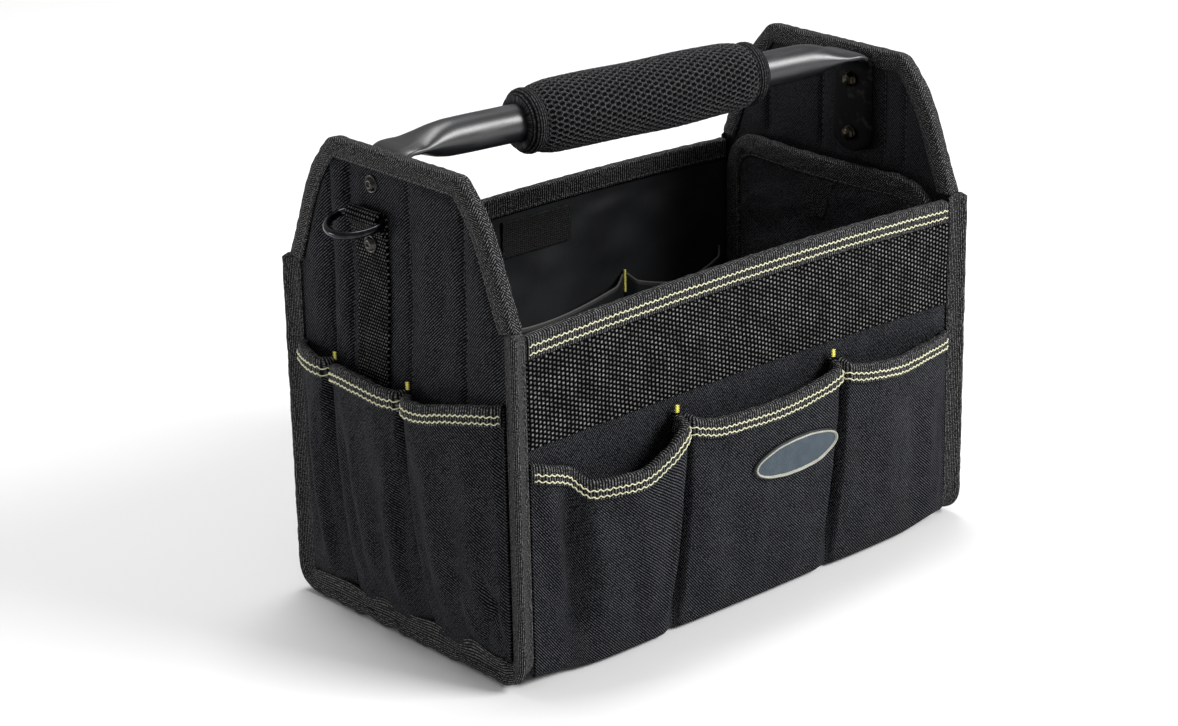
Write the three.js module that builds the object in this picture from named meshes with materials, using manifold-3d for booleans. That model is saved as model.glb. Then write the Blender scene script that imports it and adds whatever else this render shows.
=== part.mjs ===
// An open top tool tote: a fabric box with raised padded ends, a steel carrying handle bolted between
// them, pockets round all four sides, and a webbing strap with a ring on each end.
// Millimetres, +Z up, +X along the length. The origin is on the floor under the middle of the body.
// Each end is modelled at the left (-X) and turned half round for the right, and each side wall's
// trimmings are modelled at the front (-Y) and turned half round for the back.
import * as THREE from "three";
import { mergeVertices } from "three/addons/utils/BufferGeometryUtils.js";
import Module from "manifold-3d";

const wasm = await Module();
wasm.setup();

// Body
const LENGTH = 320; // over the outer faces of the end panels
const WIDTH = 176; // over the outer faces of the front and back walls
const RIM_HEIGHT = 187; // front and back rim beside the end panels
const RIM_CROWN = 4; // how much higher the rim stands at mid length
const PEAK_HEIGHT = 262; // top edge of the end panels, without its tape
const PEAK_WIDTH = 102; // width of that edge
const BASE_RADIUS = 11; // round edge between a wall and the base
const BASE_FLAT = 0.7; // share of the length over which the base lies flat
const WALL = 3; // board-stiffened front, base and back
const END_WALL = 4; // padded end panel
const WALL_BOW = 3; // how far the middle of a side wall bows out
const END_BOW = 4; // how far the pocket part of an end bows out
const CHANNEL_CROWN = 0.8; // how far the padding swells between two stitched lines of an end
const GAP = 0.3; // between pieces that touch

// Edge tapes and seams
const TAPE = 1.1; // thickness of the binding tape
const TAPE_FOLD = 11; // how far it reaches from the edge that it covers
const POCKET_TAPE_FOLD = 9; // the same on the pockets
const SEAM_REACH = 5.5; // how far a bound corner seam stands out, each way
const SEAM_TIP = 3; // its thickness at the outer edge
const SEAM_WING = 6; // how far its tape lies on each wall
const SEAM_ROOT = 1.5; // how far its tape lifts where it leaves the wall
const SEAM_STUB = 5; // how far it runs above the rim
const BASE_RISE = SEAM_REACH; // the seams lift the base's two ends, and stand on the floor themselves

// Front and back trim
const BAND_DROP = 58; // lower edge of the webbing band, below the rim
const BAND = 1.2; // its thickness
const CLOTH = 1.5; // pocket cloth
const POCKET_TOP = 126; // where the front and back pockets are tacked to the wall
const POCKET_DEPTH = 17; // how far the fullest of them stands out
const POCKET_DIVIDER = 0.36; // the tacks, as a share of half the length, from the middle
const POCKET_SAG = 20; // how far the top edge of the fullest pocket sags below the tacks
const HEM_TUCK = 5; // how far the pockets' lower edge turns under the body
const HEM_LIFT = 0.7; // how much of the base's rise that edge follows

// Ends
const FITTINGS_OFFSET = 18; // the strap, bolts and handle foot sit this far behind the middle of the left end
const END_POCKET_TOP = 145;
const END_POCKET_DEPTH = 15;
const END_POCKET_SAG = 15;
const END_POCKET_WIDTH = 61; // the middle one of three, centred on the strap
const STRAP_WIDTH = 25;
const STRAP = 1.8; // webbing thickness
const STRAP_FOOT = 70; // lower end of the strap, inside the middle pocket
const RING_WIRE = 4;
const RING_WIDTH = 37; // over the wire
const RING_REACH = 21; // from the bar's middle to the far side of the bow
const RING_DROOP = 12; // degrees below level
const BOLT_HEIGHTS = [214, 245];
const RING_RISE = 15; // the ring's bar above the lower bolt
const BOLT_RADIUS = 2;
const BOLT_HEAD = 4.2;
const BOLT_HEAD_RISE = 2.2;
const NUT_RADIUS = 4;
const NUT_RISE = 3.4;

// Handle
const TUBE = 20; // diameter
const HANDLE_HEIGHT = 260.5; // axis of the tube
const FOOT_WIDTH = 29; // flattened end of the tube
const FOOT_THICKNESS = 4.5;
const FOOT_REACH = 10; // the foot's lower end below the lower bolt
const FOOT_BEND = 9; // radius of its bend
const FLATTENING = 42; // length over which the tube changes from flat to round
const GRIP_LENGTH = 156; // with its two end bands
const GRIP_SHIFT = 5; // of the grip's middle towards +X
const GRIP = 39; // diameter
const GRIP_END = 33; // diameter at the end bands
const GRIP_BAND = 9; // width of an end band

// Inside
const LINER_CLEARANCE = 8; // the liner's top below the handle's foot
const LINER = 2.5;
const LINER_WIDTH = 160;
const LINER_RADIUS = 26; // its upper corners
const LINER_BOW = 8; // how far its top leans into the tote
const LINER_SPACE = 2; // between its foot and the end panel
const LINER_TAPE_FOOT = 40; // lower end of its tape
const TAB = { top: 30, foot: 9, length: 24, middle: -2, thickness: 1.2 }; // hangs on the right liner
const INNER_TOP = 125; // inside pockets on the back wall
const INNER_DEPTH = 9;
const INNER_SAG = 12;
const INNER_DIVIDER = 0.45; // as a share of half the length, from the middle
const INNER_END = 0.92;
const INNER_CLOTH = 1.2;
const PATCH = { width: 51, height: 22, thickness: 1.6, middle: 5, drop: 10 }; // drop below the rim

// Badge
const BADGE = { width: 67, height: 22, thickness: 2.4, middle: 19, level: 83 };

const HALF_LENGTH = LENGTH / 2;
const HALF_WIDTH = WIDTH / 2;
const SEAM_TOP = RIM_HEIGHT + SEAM_STUB;
const TRIM_LENGTH = HALF_LENGTH - SEAM_WING - GAP; // half the length left between the seams' tapes
const TRIM_WIDTH = HALF_WIDTH - SEAM_WING - GAP;
const PANEL_FOOT = BASE_RISE + SEAM_WING + GAP; // an end panel swells and bows only above the seam's tape
const END_INNER = HALF_LENGTH - END_WALL;
const FOOT_PLANE = END_INNER - TAPE - 2 * GAP - FOOT_THICKNESS / 2; // the foot lies over the end's tape
const STRAP_INNER = FITTINGS_OFFSET - STRAP_WIDTH / 2; // the strap's edge nearest the middle
const LOOP_BORE = RING_WIRE / 2 + GAP + 0.2; // inside the strap's loop, round the ring's bar
const LOOP_OUTER = LOOP_BORE + STRAP;
const BAR_OUT = CHANNEL_CROWN + GAP + LOOP_OUTER; // the bar's axis, out from the end panel
const RING_HEIGHT = BOLT_HEIGHTS[0] + RING_RISE;
const FOOT_LOWER = BOLT_HEIGHTS[0] - FOOT_REACH;
const LINER_HEIGHT = FOOT_LOWER - LINER_CLEARANCE;
const PATCH_TOP = RIM_HEIGHT - PATCH.drop;
const CURVE_EASE = 2 * GAP; // room between a tape and the curved cloth that it covers
// How far a side wall bows out at the lower edge of its rim tape.
const RIM_BOW = WALL_BOW * Math.sin((Math.PI * TAPE_FOLD) / (RIM_HEIGHT - BASE_RADIUS - BASE_RISE));

// The raised part of an end narrows in a slight curve: shares of its rise and of its narrowing.
const TAPER = [
  { up: 0, in: 0 },
  { up: 0.25, in: 0.19 },
  { up: 0.5, in: 0.37 },
  { up: 0.75, in: 0.6 },
  { up: 0.9, in: 0.82 },
  { up: 1, in: 1 },
];

// Stitched lines down an end panel, as shares of half its width, from the back (+) to the front (-).
const STITCHED_LINES = [0.61, 0.43, -0.11, -0.59];

// Pocket openings from left to right: across is a share of the pocket's width, out a share of its depth
// and sag a share of the sag below the tacks.
const SIDE_POCKETS = [
  {
    name: "pocket_1",
    from: -1,
    to: -POCKET_DIVIDER,
    sections: [
      { across: 0, out: 0.13, sag: 0.25 },
      { across: 0.23, out: 0.16, sag: 0.6 },
      { across: 0.33, out: 0.6, sag: 1 },
      { across: 0.6, out: 1, sag: 1 },
      { across: 0.8, out: 1, sag: 0.65 },
      { across: 0.88, out: 0.96, sag: 0.42 },
      { across: 0.96, out: 0.8, sag: 0.2 },
      { across: 1, out: 0, sag: 0.1 },
    ],
  },
  {
    name: "pocket_2",
    from: -POCKET_DIVIDER,
    to: POCKET_DIVIDER,
    sections: [
      { across: 0, out: 0, sag: 0.1 },
      { across: 0.035, out: 0.6, sag: 0.25 },
      { across: 0.2, out: 0.75, sag: 0.45 },
      { across: 0.5, out: 0.82, sag: 0.5 },
      { across: 0.8, out: 0.75, sag: 0.4 },
      { across: 0.965, out: 0.62, sag: 0.25 },
      { across: 1, out: 0, sag: 0.1 },
    ],
  },
  {
    name: "pocket_3",
    from: POCKET_DIVIDER,
    to: 1,
    sections: [
      { across: 0, out: 0, sag: 0.1 },
      { across: 0.04, out: 0.6, sag: 0.3 },
      { across: 0.25, out: 0.72, sag: 0.5 },
      { across: 0.5, out: 0.62, sag: 0.65 },
      { across: 0.8, out: 0.35, sag: 0.65 },
      { across: 1, out: 0.13, sag: 0.7 },
    ],
  },
];

// The same for the three pockets of an end, seen from outside, from its back edge to its front edge.
const END_POCKETS = [
  {
    name: "pocket_1",
    sections: [
      { across: 0, out: 0.15, sag: 0.35 },
      { across: 0.35, out: 0.6, sag: 0.8 },
      { across: 0.65, out: 0.82, sag: 1 },
      { across: 0.8, out: 0.8, sag: 0.9 },
      { across: 0.93, out: 0.7, sag: 0.7 },
      { across: 1, out: 0, sag: 0.1 },
    ],
  },
  {
    name: "pocket_2",
    sections: [
      { across: 0, out: 0, sag: 0.1 },
      { across: 0.05, out: 0.65, sag: 0.6 },
      { across: 0.35, out: 0.85, sag: 0.95 },
      { across: 0.65, out: 0.85, sag: 1 },
      { across: 0.95, out: 0.65, sag: 0.7 },
      { across: 1, out: 0, sag: 0.1 },
    ],
  },
  {
    name: "pocket_3",
    sections: [
      { across: 0, out: 0, sag: 0.1 },
      { across: 0.04, out: 0.65, sag: 0.55 },
      { across: 0.22, out: 0.85, sag: 1 },
      { across: 0.5, out: 0.75, sag: 0.9 },
      { across: 0.8, out: 0.4, sag: 0.35 },
      { across: 1, out: 0.15, sag: -0.1 },
    ],
  },
];

const INNER_SECTIONS = [
  { across: 0, out: 0, sag: 0 },
  { across: 0.08, out: 0.6, sag: 0.5 },
  { across: 0.5, out: 1, sag: 1 },
  { across: 0.92, out: 0.6, sag: 0.5 },
  { across: 1, out: 0, sag: 0 },
];
const INNER_POCKETS = [
  { name: "inner_pocket_left", from: -INNER_END, to: -INNER_DIVIDER },
  { name: "inner_pocket_middle", from: -INNER_DIVIDER, to: INNER_DIVIDER },
  { name: "inner_pocket_right", from: INNER_DIVIDER, to: INNER_END },
];

// How full a pocket is at each share of its height.
const FULLNESS = [
  { up: 0, full: 0.22 },
  { up: 0.3, full: 0.62 },
  { up: 0.65, full: 0.9 },
  { up: 1, full: 1 },
];

// The handle's tube from its flat foot to its round middle: shares of the way and of the change.
const TUBE_SECTIONS = [
  { along: 0, round: 0 },
  { along: 0.2, round: 0.1 },
  { along: 0.45, round: 0.38 },
  { along: 0.7, round: 0.75 },
  { along: 1, round: 1 },
];

// Radius along the grip, as shares of its length and of the swell from its end to its full size.
const GRIP_SWELL = [
  { along: 0, swell: 0 },
  { along: 0.03, swell: 0.55 },
  { along: 0.1, swell: 0.95 },
  { along: 0.5, swell: 1 },
  { along: 0.9, swell: 0.95 },
  { along: 0.97, swell: 0.55 },
  { along: 1, swell: 0 },
];

const mix = (a, b, t) => a + (b - a) * t;
const clamp = (t) => Math.min(1, Math.max(0, t));
const smooth = (t) => clamp(t) ** 2 * (3 - 2 * clamp(t));
const steps = (from, to, count) =>
  Array.from({ length: count + 1 }, (_, i) => mix(from, to, i / count));

// Value of one column of a table at a place along another, in straight lines from row to row.
function lookup(table, column, value, at) {
  const next = Math.max(1, table.findIndex((row, i) => i > 0 && row[column] >= at));
  const [a, b] = [table[next - 1], table[next]];
  return mix(a[value], b[value], clamp((at - a[column]) / (b[column] - a[column])));
}

const point = (x, y, z) => new THREE.Vector3(x, y, z);
const beyond = (p, direction, distance) => p.clone().addScaledVector(direction, distance);

// A geometry from shared points and triangles, turned to face outwards.
function closedGeometry(points, triangles) {
  let volume = 0;
  for (let i = 0; i < triangles.length; i += 3) {
    const [a, b, c] = [0, 1, 2].map((k) => points[triangles[i + k]]);
    volume += a.dot(b.clone().cross(c));
  }
  const index = volume < 0 ? triangles.toReversed() : triangles;
  const geometry = new THREE.BufferGeometry().setFromPoints(points);
  geometry.setIndex(index);
  return geometry;
}

// Two triangles for each quad of a grid of rings, each ring holding as many points.
function bridge(triangles, from, to, size, closed) {
  for (let i = 0; i < (closed ? size : size - 1); i++) {
    const j = (i + 1) % size;
    triangles.push(from + i, from + j, to + j, from + i, to + j, to + i);
  }
}

// A solid skinned over rings of points. Its ends are closed with caps in the shape of flat, the rings'
// outline run anticlockwise; a hoop joins end to end instead.
function loft(rings, { hoop = false, flat = null } = {}) {
  const size = rings[0].length;
  const last = (rings.length - 1) * size;
  const triangles = [];
  for (let i = 0; i < last; i += size) bridge(triangles, i, i + size, size, true);
  if (hoop) {
    bridge(triangles, last, 0, size, true);
  } else {
    const cap = THREE.ShapeUtils.triangulateShape(flat, []);
    for (const [a, b, c] of cap) triangles.push(c, b, a, last + a, last + b, last + c);
  }
  return closedGeometry(rings.flat(), triangles);
}

// A closed sheet between an outer and an inner grid of points, given as rows of equal length.
function sheetBetween(outer, inner) {
  const size = outer[0].length;
  const skin = size * outer.length;
  const triangles = [];
  const side = [];
  for (let r = 0; r + 1 < outer.length; r++) {
    bridge(triangles, r * size, (r + 1) * size, size, false);
    bridge(side, skin + r * size, skin + (r + 1) * size, size, false);
  }
  triangles.push(...side.toReversed());
  const last = skin - size;
  const rim = [
    ...Array.from({ length: size }, (_, i) => i),
    ...Array.from({ length: outer.length - 2 }, (_, r) => (r + 2) * size - 1),
    ...Array.from({ length: size }, (_, i) => last + size - 1 - i),
    ...Array.from({ length: outer.length - 2 }, (_, r) => (outer.length - 2 - r) * size),
  ];
  rim.forEach((a, i) => {
    const b = rim[(i + 1) % rim.length];
    triangles.push(b, a, skin + a, b, skin + a, skin + b);
  });
  return closedGeometry([...outer.flat(), ...inner.flat()], triangles);
}

// A sheet of even thickness behind a grid of points: each point moves back along the mean normal.
function sheetBehind(outer, thickness, outward) {
  const rows = outer.length;
  const columns = outer[0].length;
  const faceNormals = [];
  for (let r = 0; r + 1 < rows; r++)
    for (let c = 0; c + 1 < columns; c++) {
      const across = outer[r][c + 1].clone().sub(outer[r][c]).add(outer[r + 1][c + 1]).sub(outer[r + 1][c]);
      const along = outer[r + 1][c].clone().sub(outer[r][c]).add(outer[r + 1][c + 1]).sub(outer[r][c + 1]);
      const normal = across.cross(along).normalize();
      faceNormals.push({ r, c, normal: normal.dot(outward) < 0 ? normal.negate() : normal });
    }
  const inner = outer.map((row, r) =>
    row.map((p, c) => {
      const near = faceNormals.filter((f) => (f.r === r || f.r === r - 1) && (f.c === c || f.c === c - 1));
      const normal = near.reduce((sum, f) => sum.add(f.normal), point(0, 0, 0)).normalize();
      const lean = Math.max(0.6, normal.dot(near[0].normal));
      return beyond(p, normal, -thickness / lean);
    }),
  );
  return { geometry: sheetBetween(outer, inner), inner };
}

// A tape folded over an edge. Each station has the edge, a root further down on the outer skin and the
// outward direction at each. Cover is the thickness of what the tape covers. Outside and inside are the
// room that it leaves on each face, and it leaves as much over the edge as inside.
function foldedTape(stations, cover, { outside = GAP, inside = GAP } = {}) {
  const rings = stations.map(({ edge, root, out, rootOut = out }) => {
    const up = edge.clone().sub(root).normalize();
    const at = (from, outward, lift) =>
      beyond(beyond(from, from === root ? rootOut : out, outward), up, lift);
    return [
      at(root, outside + TAPE, 0),
      at(edge, outside + TAPE, inside + TAPE),
      at(edge, -cover - inside - TAPE, inside + TAPE),
      at(root, -cover - inside - TAPE, 0),
      at(root, -cover - inside, 0),
      at(edge, -cover - inside, inside),
      at(edge, outside, inside),
      at(root, outside, 0),
    ];
  });
  const flat = [
    [2, 0],
    [2, 2],
    [-2, 2],
    [-2, 0],
    [-1, 0],
    [-1, 1],
    [1, 1],
    [1, 0],
  ].map(([x, y]) => new THREE.Vector2(x, y));
  return loft(rings, { flat });
}

function toSolid(geometry) {
  const bare = geometry.clone();
  bare.deleteAttribute("normal");
  bare.deleteAttribute("uv");
  const merged = mergeVertices(bare, 1e-4);
  return new wasm.Manifold(
    new wasm.Mesh({
      numProp: 3,
      vertProperties: new Float32Array(merged.attributes.position.array),
      triVerts: new Uint32Array(merged.index.array),
    }),
  );
}

function fromSolid(solid) {
  const mesh = solid.getMesh();
  return new THREE.BufferGeometry()
    .setAttribute("position", new THREE.BufferAttribute(new Float32Array(mesh.vertProperties), 3))
    .setIndex(new THREE.BufferAttribute(new Uint32Array(mesh.triVerts), 1));
}

// A flat outline of [y, z] points, as a prism along X.
function prismAlongX(outline, from, to) {
  const shape = new THREE.Shape(outline.map(([y, z]) => new THREE.Vector2(y, z)));
  const geometry = new THREE.ExtrudeGeometry(shape, { depth: to - from, bevelEnabled: false });
  return geometry.applyMatrix4(
    new THREE.Matrix4().makeBasis(point(0, 1, 0), point(0, 0, 1), point(1, 0, 0)).setPosition(from, 0, 0),
  );
}

function cylinderAlongX(radius, from, to, y, z, sides = 10) {
  return new THREE.CylinderGeometry(radius, radius, to - from, sides)
    .rotateZ(Math.PI / 2)
    .translate((from + to) / 2, y, z);
}

// The skins of the body. A positive out lies outside the skin.

const baseLevel = (x) =>
  BASE_RISE * smooth((Math.abs(x) / HALF_LENGTH - BASE_FLAT) / (1 - BASE_FLAT - END_WALL / HALF_LENGTH));
const rimLevel = (x) => RIM_HEIGHT + RIM_CROWN * (1 - (x / HALF_LENGTH) ** 2);

// Bow of the front or back wall: none at the rim, at the base's round edge or under the seams' tapes.
function wallBow(x, z) {
  const level = clamp((z - BASE_RADIUS - BASE_RISE) / (RIM_HEIGHT - BASE_RADIUS - BASE_RISE));
  const along = Math.max(0, 1 - (x / TRIM_LENGTH) ** 2);
  return WALL_BOW * Math.sin(Math.PI * level) * along;
}

const frontPoint = (x, z, out) => point(x, -HALF_WIDTH - wallBow(x, z) - out, z);
const backInnerPoint = (x, z, inward) => point(x, HALF_WIDTH - WALL + wallBow(x, z) - inward, z);

// Bow of an end panel: it is flat above the rim, where the handle's foot is bolted to it.
function endBow(y, z) {
  const level = clamp((z - PANEL_FOOT) / (RIM_HEIGHT - PANEL_FOOT));
  return END_BOW * Math.sin(Math.PI * level) * Math.max(0, 1 - (y / TRIM_WIDTH) ** 2);
}

const endPoint = (y, z, out) => point(-HALF_LENGTH - endBow(y, z) - CHANNEL_CROWN - out, y, z);
function linerPoint(y, z, inward) {
  const bow = LINER_BOW * (z / LINER_HEIGHT) ** 2 * (1 - ((2 * y) / LINER_WIDTH) ** 2);
  return point(-END_INNER + LINER_SPACE + bow + inward, y, z);
}

// Right half of an end's outline above the seams, from the seam up to the peak.
const taper = TAPER.map(({ up, in: inward }) => ({
  y: mix(HALF_WIDTH, PEAK_WIDTH / 2, inward),
  z: mix(SEAM_TOP, PEAK_HEIGHT, up),
}));

// The base's round edge at an end, from the wall (0) to the base (1).
const roundEdge = (share, inset = 0) => {
  const angle = (share * Math.PI) / 2;
  const reach = BASE_RADIUS - inset;
  return {
    y: HALF_WIDTH - BASE_RADIUS + reach * Math.cos(angle),
    z: BASE_RADIUS - reach * Math.sin(angle),
    normal: { y: Math.cos(angle), z: -Math.sin(angle) },
  };
};
const ROUND_STEPS = 4;

// One sheet runs down the front, under the body and up the back.
function bodyWrap() {
  const edge = END_INNER - GAP;
  const shares = [0.22, 0.46, BASE_FLAT, 0.85, 1];
  const stations = [...shares.toReversed().map((share) => -share), 0, ...shares].map((share) => share * edge);
  const wallLevels = [1, 0.75, 0.5, 0.25, 0];
  const row = (x, inset) => {
    const base = baseLevel(x);
    const wall = wallLevels.map((share) => {
      const z = mix(base + BASE_RADIUS, rimLevel(x), share);
      return point(x, HALF_WIDTH + wallBow(x, z) - inset, z);
    });
    const round = steps(0, 1, ROUND_STEPS)
      .slice(1)
      .map((share) => {
        const { y, z } = roundEdge(share, inset);
        return point(x, y, z + base);
      });
    const half = [...wall, ...round];
    return [...half.map((p) => point(p.x, -p.y, p.z)), ...half.toReversed()];
  };
  return sheetBetween(
    stations.map((x) => row(x, 0)),
    stations.map((x) => row(x, WALL)),
  );
}

function endOutline() {
  const lower = steps(0, 1, ROUND_STEPS).map((share) => {
    const { y, z } = roundEdge(share);
    return [y, z + BASE_RISE];
  });
  const right = [...lower.toReversed(), ...taper.map(({ y, z }) => [y, z])];
  return [...right, ...right.map(([y, z]) => [-y, z]).toReversed()];
}

// Padded end panel, swelling between its stitched lines, with holes for the handle's bolts.
function endPanel() {
  const stitched = STITCHED_LINES.map((share) => share * HALF_WIDTH);
  const lines = [HALF_WIDTH, TRIM_WIDTH, ...stitched, -TRIM_WIDTH, -HALF_WIDTH];
  const columns = [];
  lines.forEach((y, i) => {
    columns.push({ y, swell: 0 });
    const next = lines[i + 1];
    if (i > 0 && i < lines.length - 2) columns.push({ y: (y + next) / 2, swell: CHANNEL_CROWN });
  });
  const levels = steps(PANEL_FOOT, RIM_HEIGHT, 6).map((z) => ({ z, swelling: z > PANEL_FOOT ? 1 : 0 }));
  levels.unshift({ z: BASE_RISE - 1, swelling: 0 });
  levels.push({ z: PEAK_HEIGHT + 1, swelling: 1 });
  const skin = (inner) =>
    levels.map(({ z, swelling }) =>
      columns.map(({ y, swell }) =>
        point(-HALF_LENGTH - endBow(y, z) + (inner ? END_WALL : -swell * swelling), y, z),
      ),
    );
  const swollen = toSolid(sheetBetween(skin(false), skin(true)));
  const outline = prismAlongX(endOutline(), -HALF_LENGTH - END_BOW - END_WALL, -END_INNER + END_WALL);
  let solid = swollen.intersect(toSolid(outline));
  for (const z of BOLT_HEIGHTS) solid = solid.subtract(toSolid(boltHole(z)));
  return fromSolid(solid);
}

// The space of a bolt at the left end, from outside the strap to inside the handle's foot.
function boltHole(z) {
  const outer = -HALF_LENGTH - END_BOW - END_WALL;
  return cylinderAlongX(BOLT_RADIUS + GAP, outer, -END_INNER + 2 * FOOT_THICKNESS, FITTINGS_OFFSET, z);
}

// Tape over the raised edge of an end.
function endBinding() {
  const half = taper;
  const path = [...half.map(({ y, z }) => [y, z]), ...half.map(({ y, z }) => [-y, z]).toReversed()];
  const stations = path.map(([y, z], i) => {
    const before = path[Math.max(0, i - 1)];
    const after = path[Math.min(path.length - 1, i + 1)];
    const inward = mitre(before, [y, z], after, i > 0 && i < path.length - 1);
    return {
      edge: point(-HALF_LENGTH, y, z),
      root: point(-HALF_LENGTH, y + inward[0] * TAPE_FOLD, z + inward[1] * TAPE_FOLD),
      out: point(-1, 0, 0),
    };
  });
  stations[0].root.z = stations[0].edge.z;
  stations.at(-1).root.z = stations.at(-1).edge.z;
  return foldedTape(stations, END_WALL, { outside: GAP + CHANNEL_CROWN });
}

// Inward direction at a corner of a path that runs anticlockwise in (y, z), long enough to keep the
// tape's width even on both sides of the corner.
function mitre(before, here, after, corner) {
  const unit = ([a, b]) => {
    const size = Math.hypot(a, b);
    return [a / size, b / size];
  };
  const left = ([a, b]) => [-b, a];
  const first = left(unit(corner || before !== here ? [here[0] - before[0], here[1] - before[1]] : [1, 0]));
  if (!corner) return left(unit([after[0] - before[0], after[1] - before[1]]));
  const second = left(unit([after[0] - here[0], after[1] - here[1]]));
  const middle = unit([first[0] + second[0], first[1] + second[1]]);
  const stretch = middle[0] * first[0] + middle[1] * first[1];
  return [middle[0] / stretch, middle[1] / stretch];
}

// The bound seam that joins an end to the wrap: a ridge that points out over the corner, with its tape
// lying on both faces. It runs from one rim down, under the body and up to the other rim.
function cornerSeam() {
  const section = [
    [GAP, -SEAM_WING],
    [GAP + TAPE, -SEAM_WING],
    [GAP + TAPE + SEAM_ROOT, -SEAM_TIP / 2],
    [SEAM_REACH, SEAM_REACH - SEAM_TIP],
    [SEAM_REACH - SEAM_TIP, SEAM_REACH],
    [-SEAM_TIP / 2, GAP + TAPE + SEAM_ROOT],
    [-SEAM_WING, GAP + TAPE],
    [-SEAM_WING, GAP],
    [GAP, GAP],
  ];
  const wall = [SEAM_TOP, mix(SEAM_TOP, BASE_RADIUS, 0.5)].map((z) => ({
    y: HALF_WIDTH,
    z,
    normal: { y: 1, z: 0 },
  }));
  const round = steps(0, 1, ROUND_STEPS).map((share) => {
    const corner = roundEdge(share);
    return { ...corner, z: corner.z + BASE_RISE };
  });
  const back = [...wall, ...round];
  const front = back.map(({ y, z, normal }) => ({ y: -y, z, normal: { y: -normal.y, z: normal.z } }));
  const rings = [...back, ...front.toReversed()].map(({ y, z, normal }) =>
    section.map(([across, over]) => point(-HALF_LENGTH - across, y + normal.y * over, z + normal.z * over)),
  );
  return loft(rings, { flat: section.map(([a, b]) => new THREE.Vector2(a, b)) });
}

// Upper edge of the seam's tape on an end panel, which rises round the base's corners.
function seamTapeEdge(y) {
  const radius = BASE_RADIUS - SEAM_WING - GAP;
  const past = Math.max(0, Math.abs(y) - HALF_WIDTH + BASE_RADIUS);
  return BASE_RISE + BASE_RADIUS - Math.sqrt(Math.max(0, radius ** 2 - past ** 2));
}

// Tape over the rim of the front wall.
function rimTape() {
  const stations = steps(-TRIM_LENGTH, TRIM_LENGTH, 8).map((x) => ({
    edge: point(x, -HALF_WIDTH, rimLevel(x)),
    root: frontPoint(x, rimLevel(x) - TAPE_FOLD, 0).setY(-HALF_WIDTH),
    out: point(0, -1, 0),
  }));
  return foldedTape(stations, WALL, { outside: GAP + RIM_BOW });
}

// Coarse webbing band below the front rim.
function webbingBand() {
  const columns = steps(-TRIM_LENGTH, TRIM_LENGTH, 8);
  const levels = steps(TAPE_FOLD + GAP, BAND_DROP, 3);
  const skin = (out) => levels.map((drop) => columns.map((x) => frontPoint(x, rimLevel(x) - drop, out)));
  return sheetBetween(skin(GAP + BAND), skin(GAP));
}

// Outer skin of a pocket as rows of points, from its lower edge to its opening, with one row at the
// lower edge of its tape. Lower is a function of the place along the wall.
function pocketSkin({ from, to, sections, top, lower, depth, sag, place, cover = CLOTH, tuck }) {
  const row = ({ up, full, drop = 0 }) =>
    sections.map(({ across, out, sag: share }) => {
      const along = mix(from, to, across);
      const z = mix(lower(along), top - share * sag, up) - drop;
      return place(along, z, GAP + cover + out * depth * full);
    });
  const rows = FULLNESS.map(row);
  rows.splice(-1, 0, row({ up: 1, full: 1, drop: POCKET_TAPE_FOLD }));
  if (tuck) rows.unshift(rows[0].map((p) => point(p.x, p.y + tuck(p.x), p.z)));
  return rows;
}

// The pocket itself and the tape over its opening, which stops short of the folds at the dividers.
function pocketPieces(skin, sections, outward) {
  const { geometry, inner } = sheetBehind(skin, CLOTH, outward);
  const outAt = (row, i) => skin.at(row)[i].clone().sub(inner.at(row)[i]).divideScalar(CLOTH);
  const stations = skin.at(-1).map((edge, i) => ({
    edge,
    root: skin.at(-2)[i],
    out: outAt(-1, i),
    rootOut: outAt(-2, i),
  }));
  const room = { outside: CURVE_EASE, inside: CURVE_EASE };
  const taped = stations.filter((_, i) => sections[i].out > 0);
  return { cloth: geometry, tape: foldedTape(taped, CLOTH, room) };
}

// Webbing strap down the left end, with the loop at its top that holds the ring's bar.
function strap() {
  const rest = (z) => endBow(STRAP_INNER, z) + CHANNEL_CROWN + GAP;
  const levels = steps(STRAP_FOOT, RIM_HEIGHT, 4);
  const loopLow = RING_HEIGHT - LOOP_OUTER - STRAP;
  const arc = steps(0, 1.3 * Math.PI, 9).map((angle) => [
    BAR_OUT - LOOP_OUTER * Math.cos(angle),
    RING_HEIGHT + LOOP_OUTER * Math.sin(angle),
  ]);
  const outline = [
    ...levels.map((z) => [rest(z), z]),
    ...arc,
    [rest(loopLow) + STRAP, loopLow],
    ...levels.toReversed().map((z) => [rest(z) + STRAP, z]),
  ];
  const shape = new THREE.Shape(outline.map(([out, z]) => new THREE.Vector2(out, z)));
  const bore = new THREE.Path().absarc(BAR_OUT, RING_HEIGHT, LOOP_BORE, 0, 2 * Math.PI, false);
  shape.holes.push(bore);
  const geometry = new THREE.ExtrudeGeometry(shape, {
    depth: STRAP_WIDTH,
    bevelEnabled: false,
    curveSegments: 5,
  });
  geometry.applyMatrix4(
    new THREE.Matrix4()
      .makeBasis(point(-1, 0, 0), point(0, 0, 1), point(0, 1, 0))
      .setPosition(-HALF_LENGTH, STRAP_INNER, 0),
  );
  return fromSolid(toSolid(geometry).subtract(toSolid(boltHole(BOLT_HEIGHTS[0]))));
}

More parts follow.
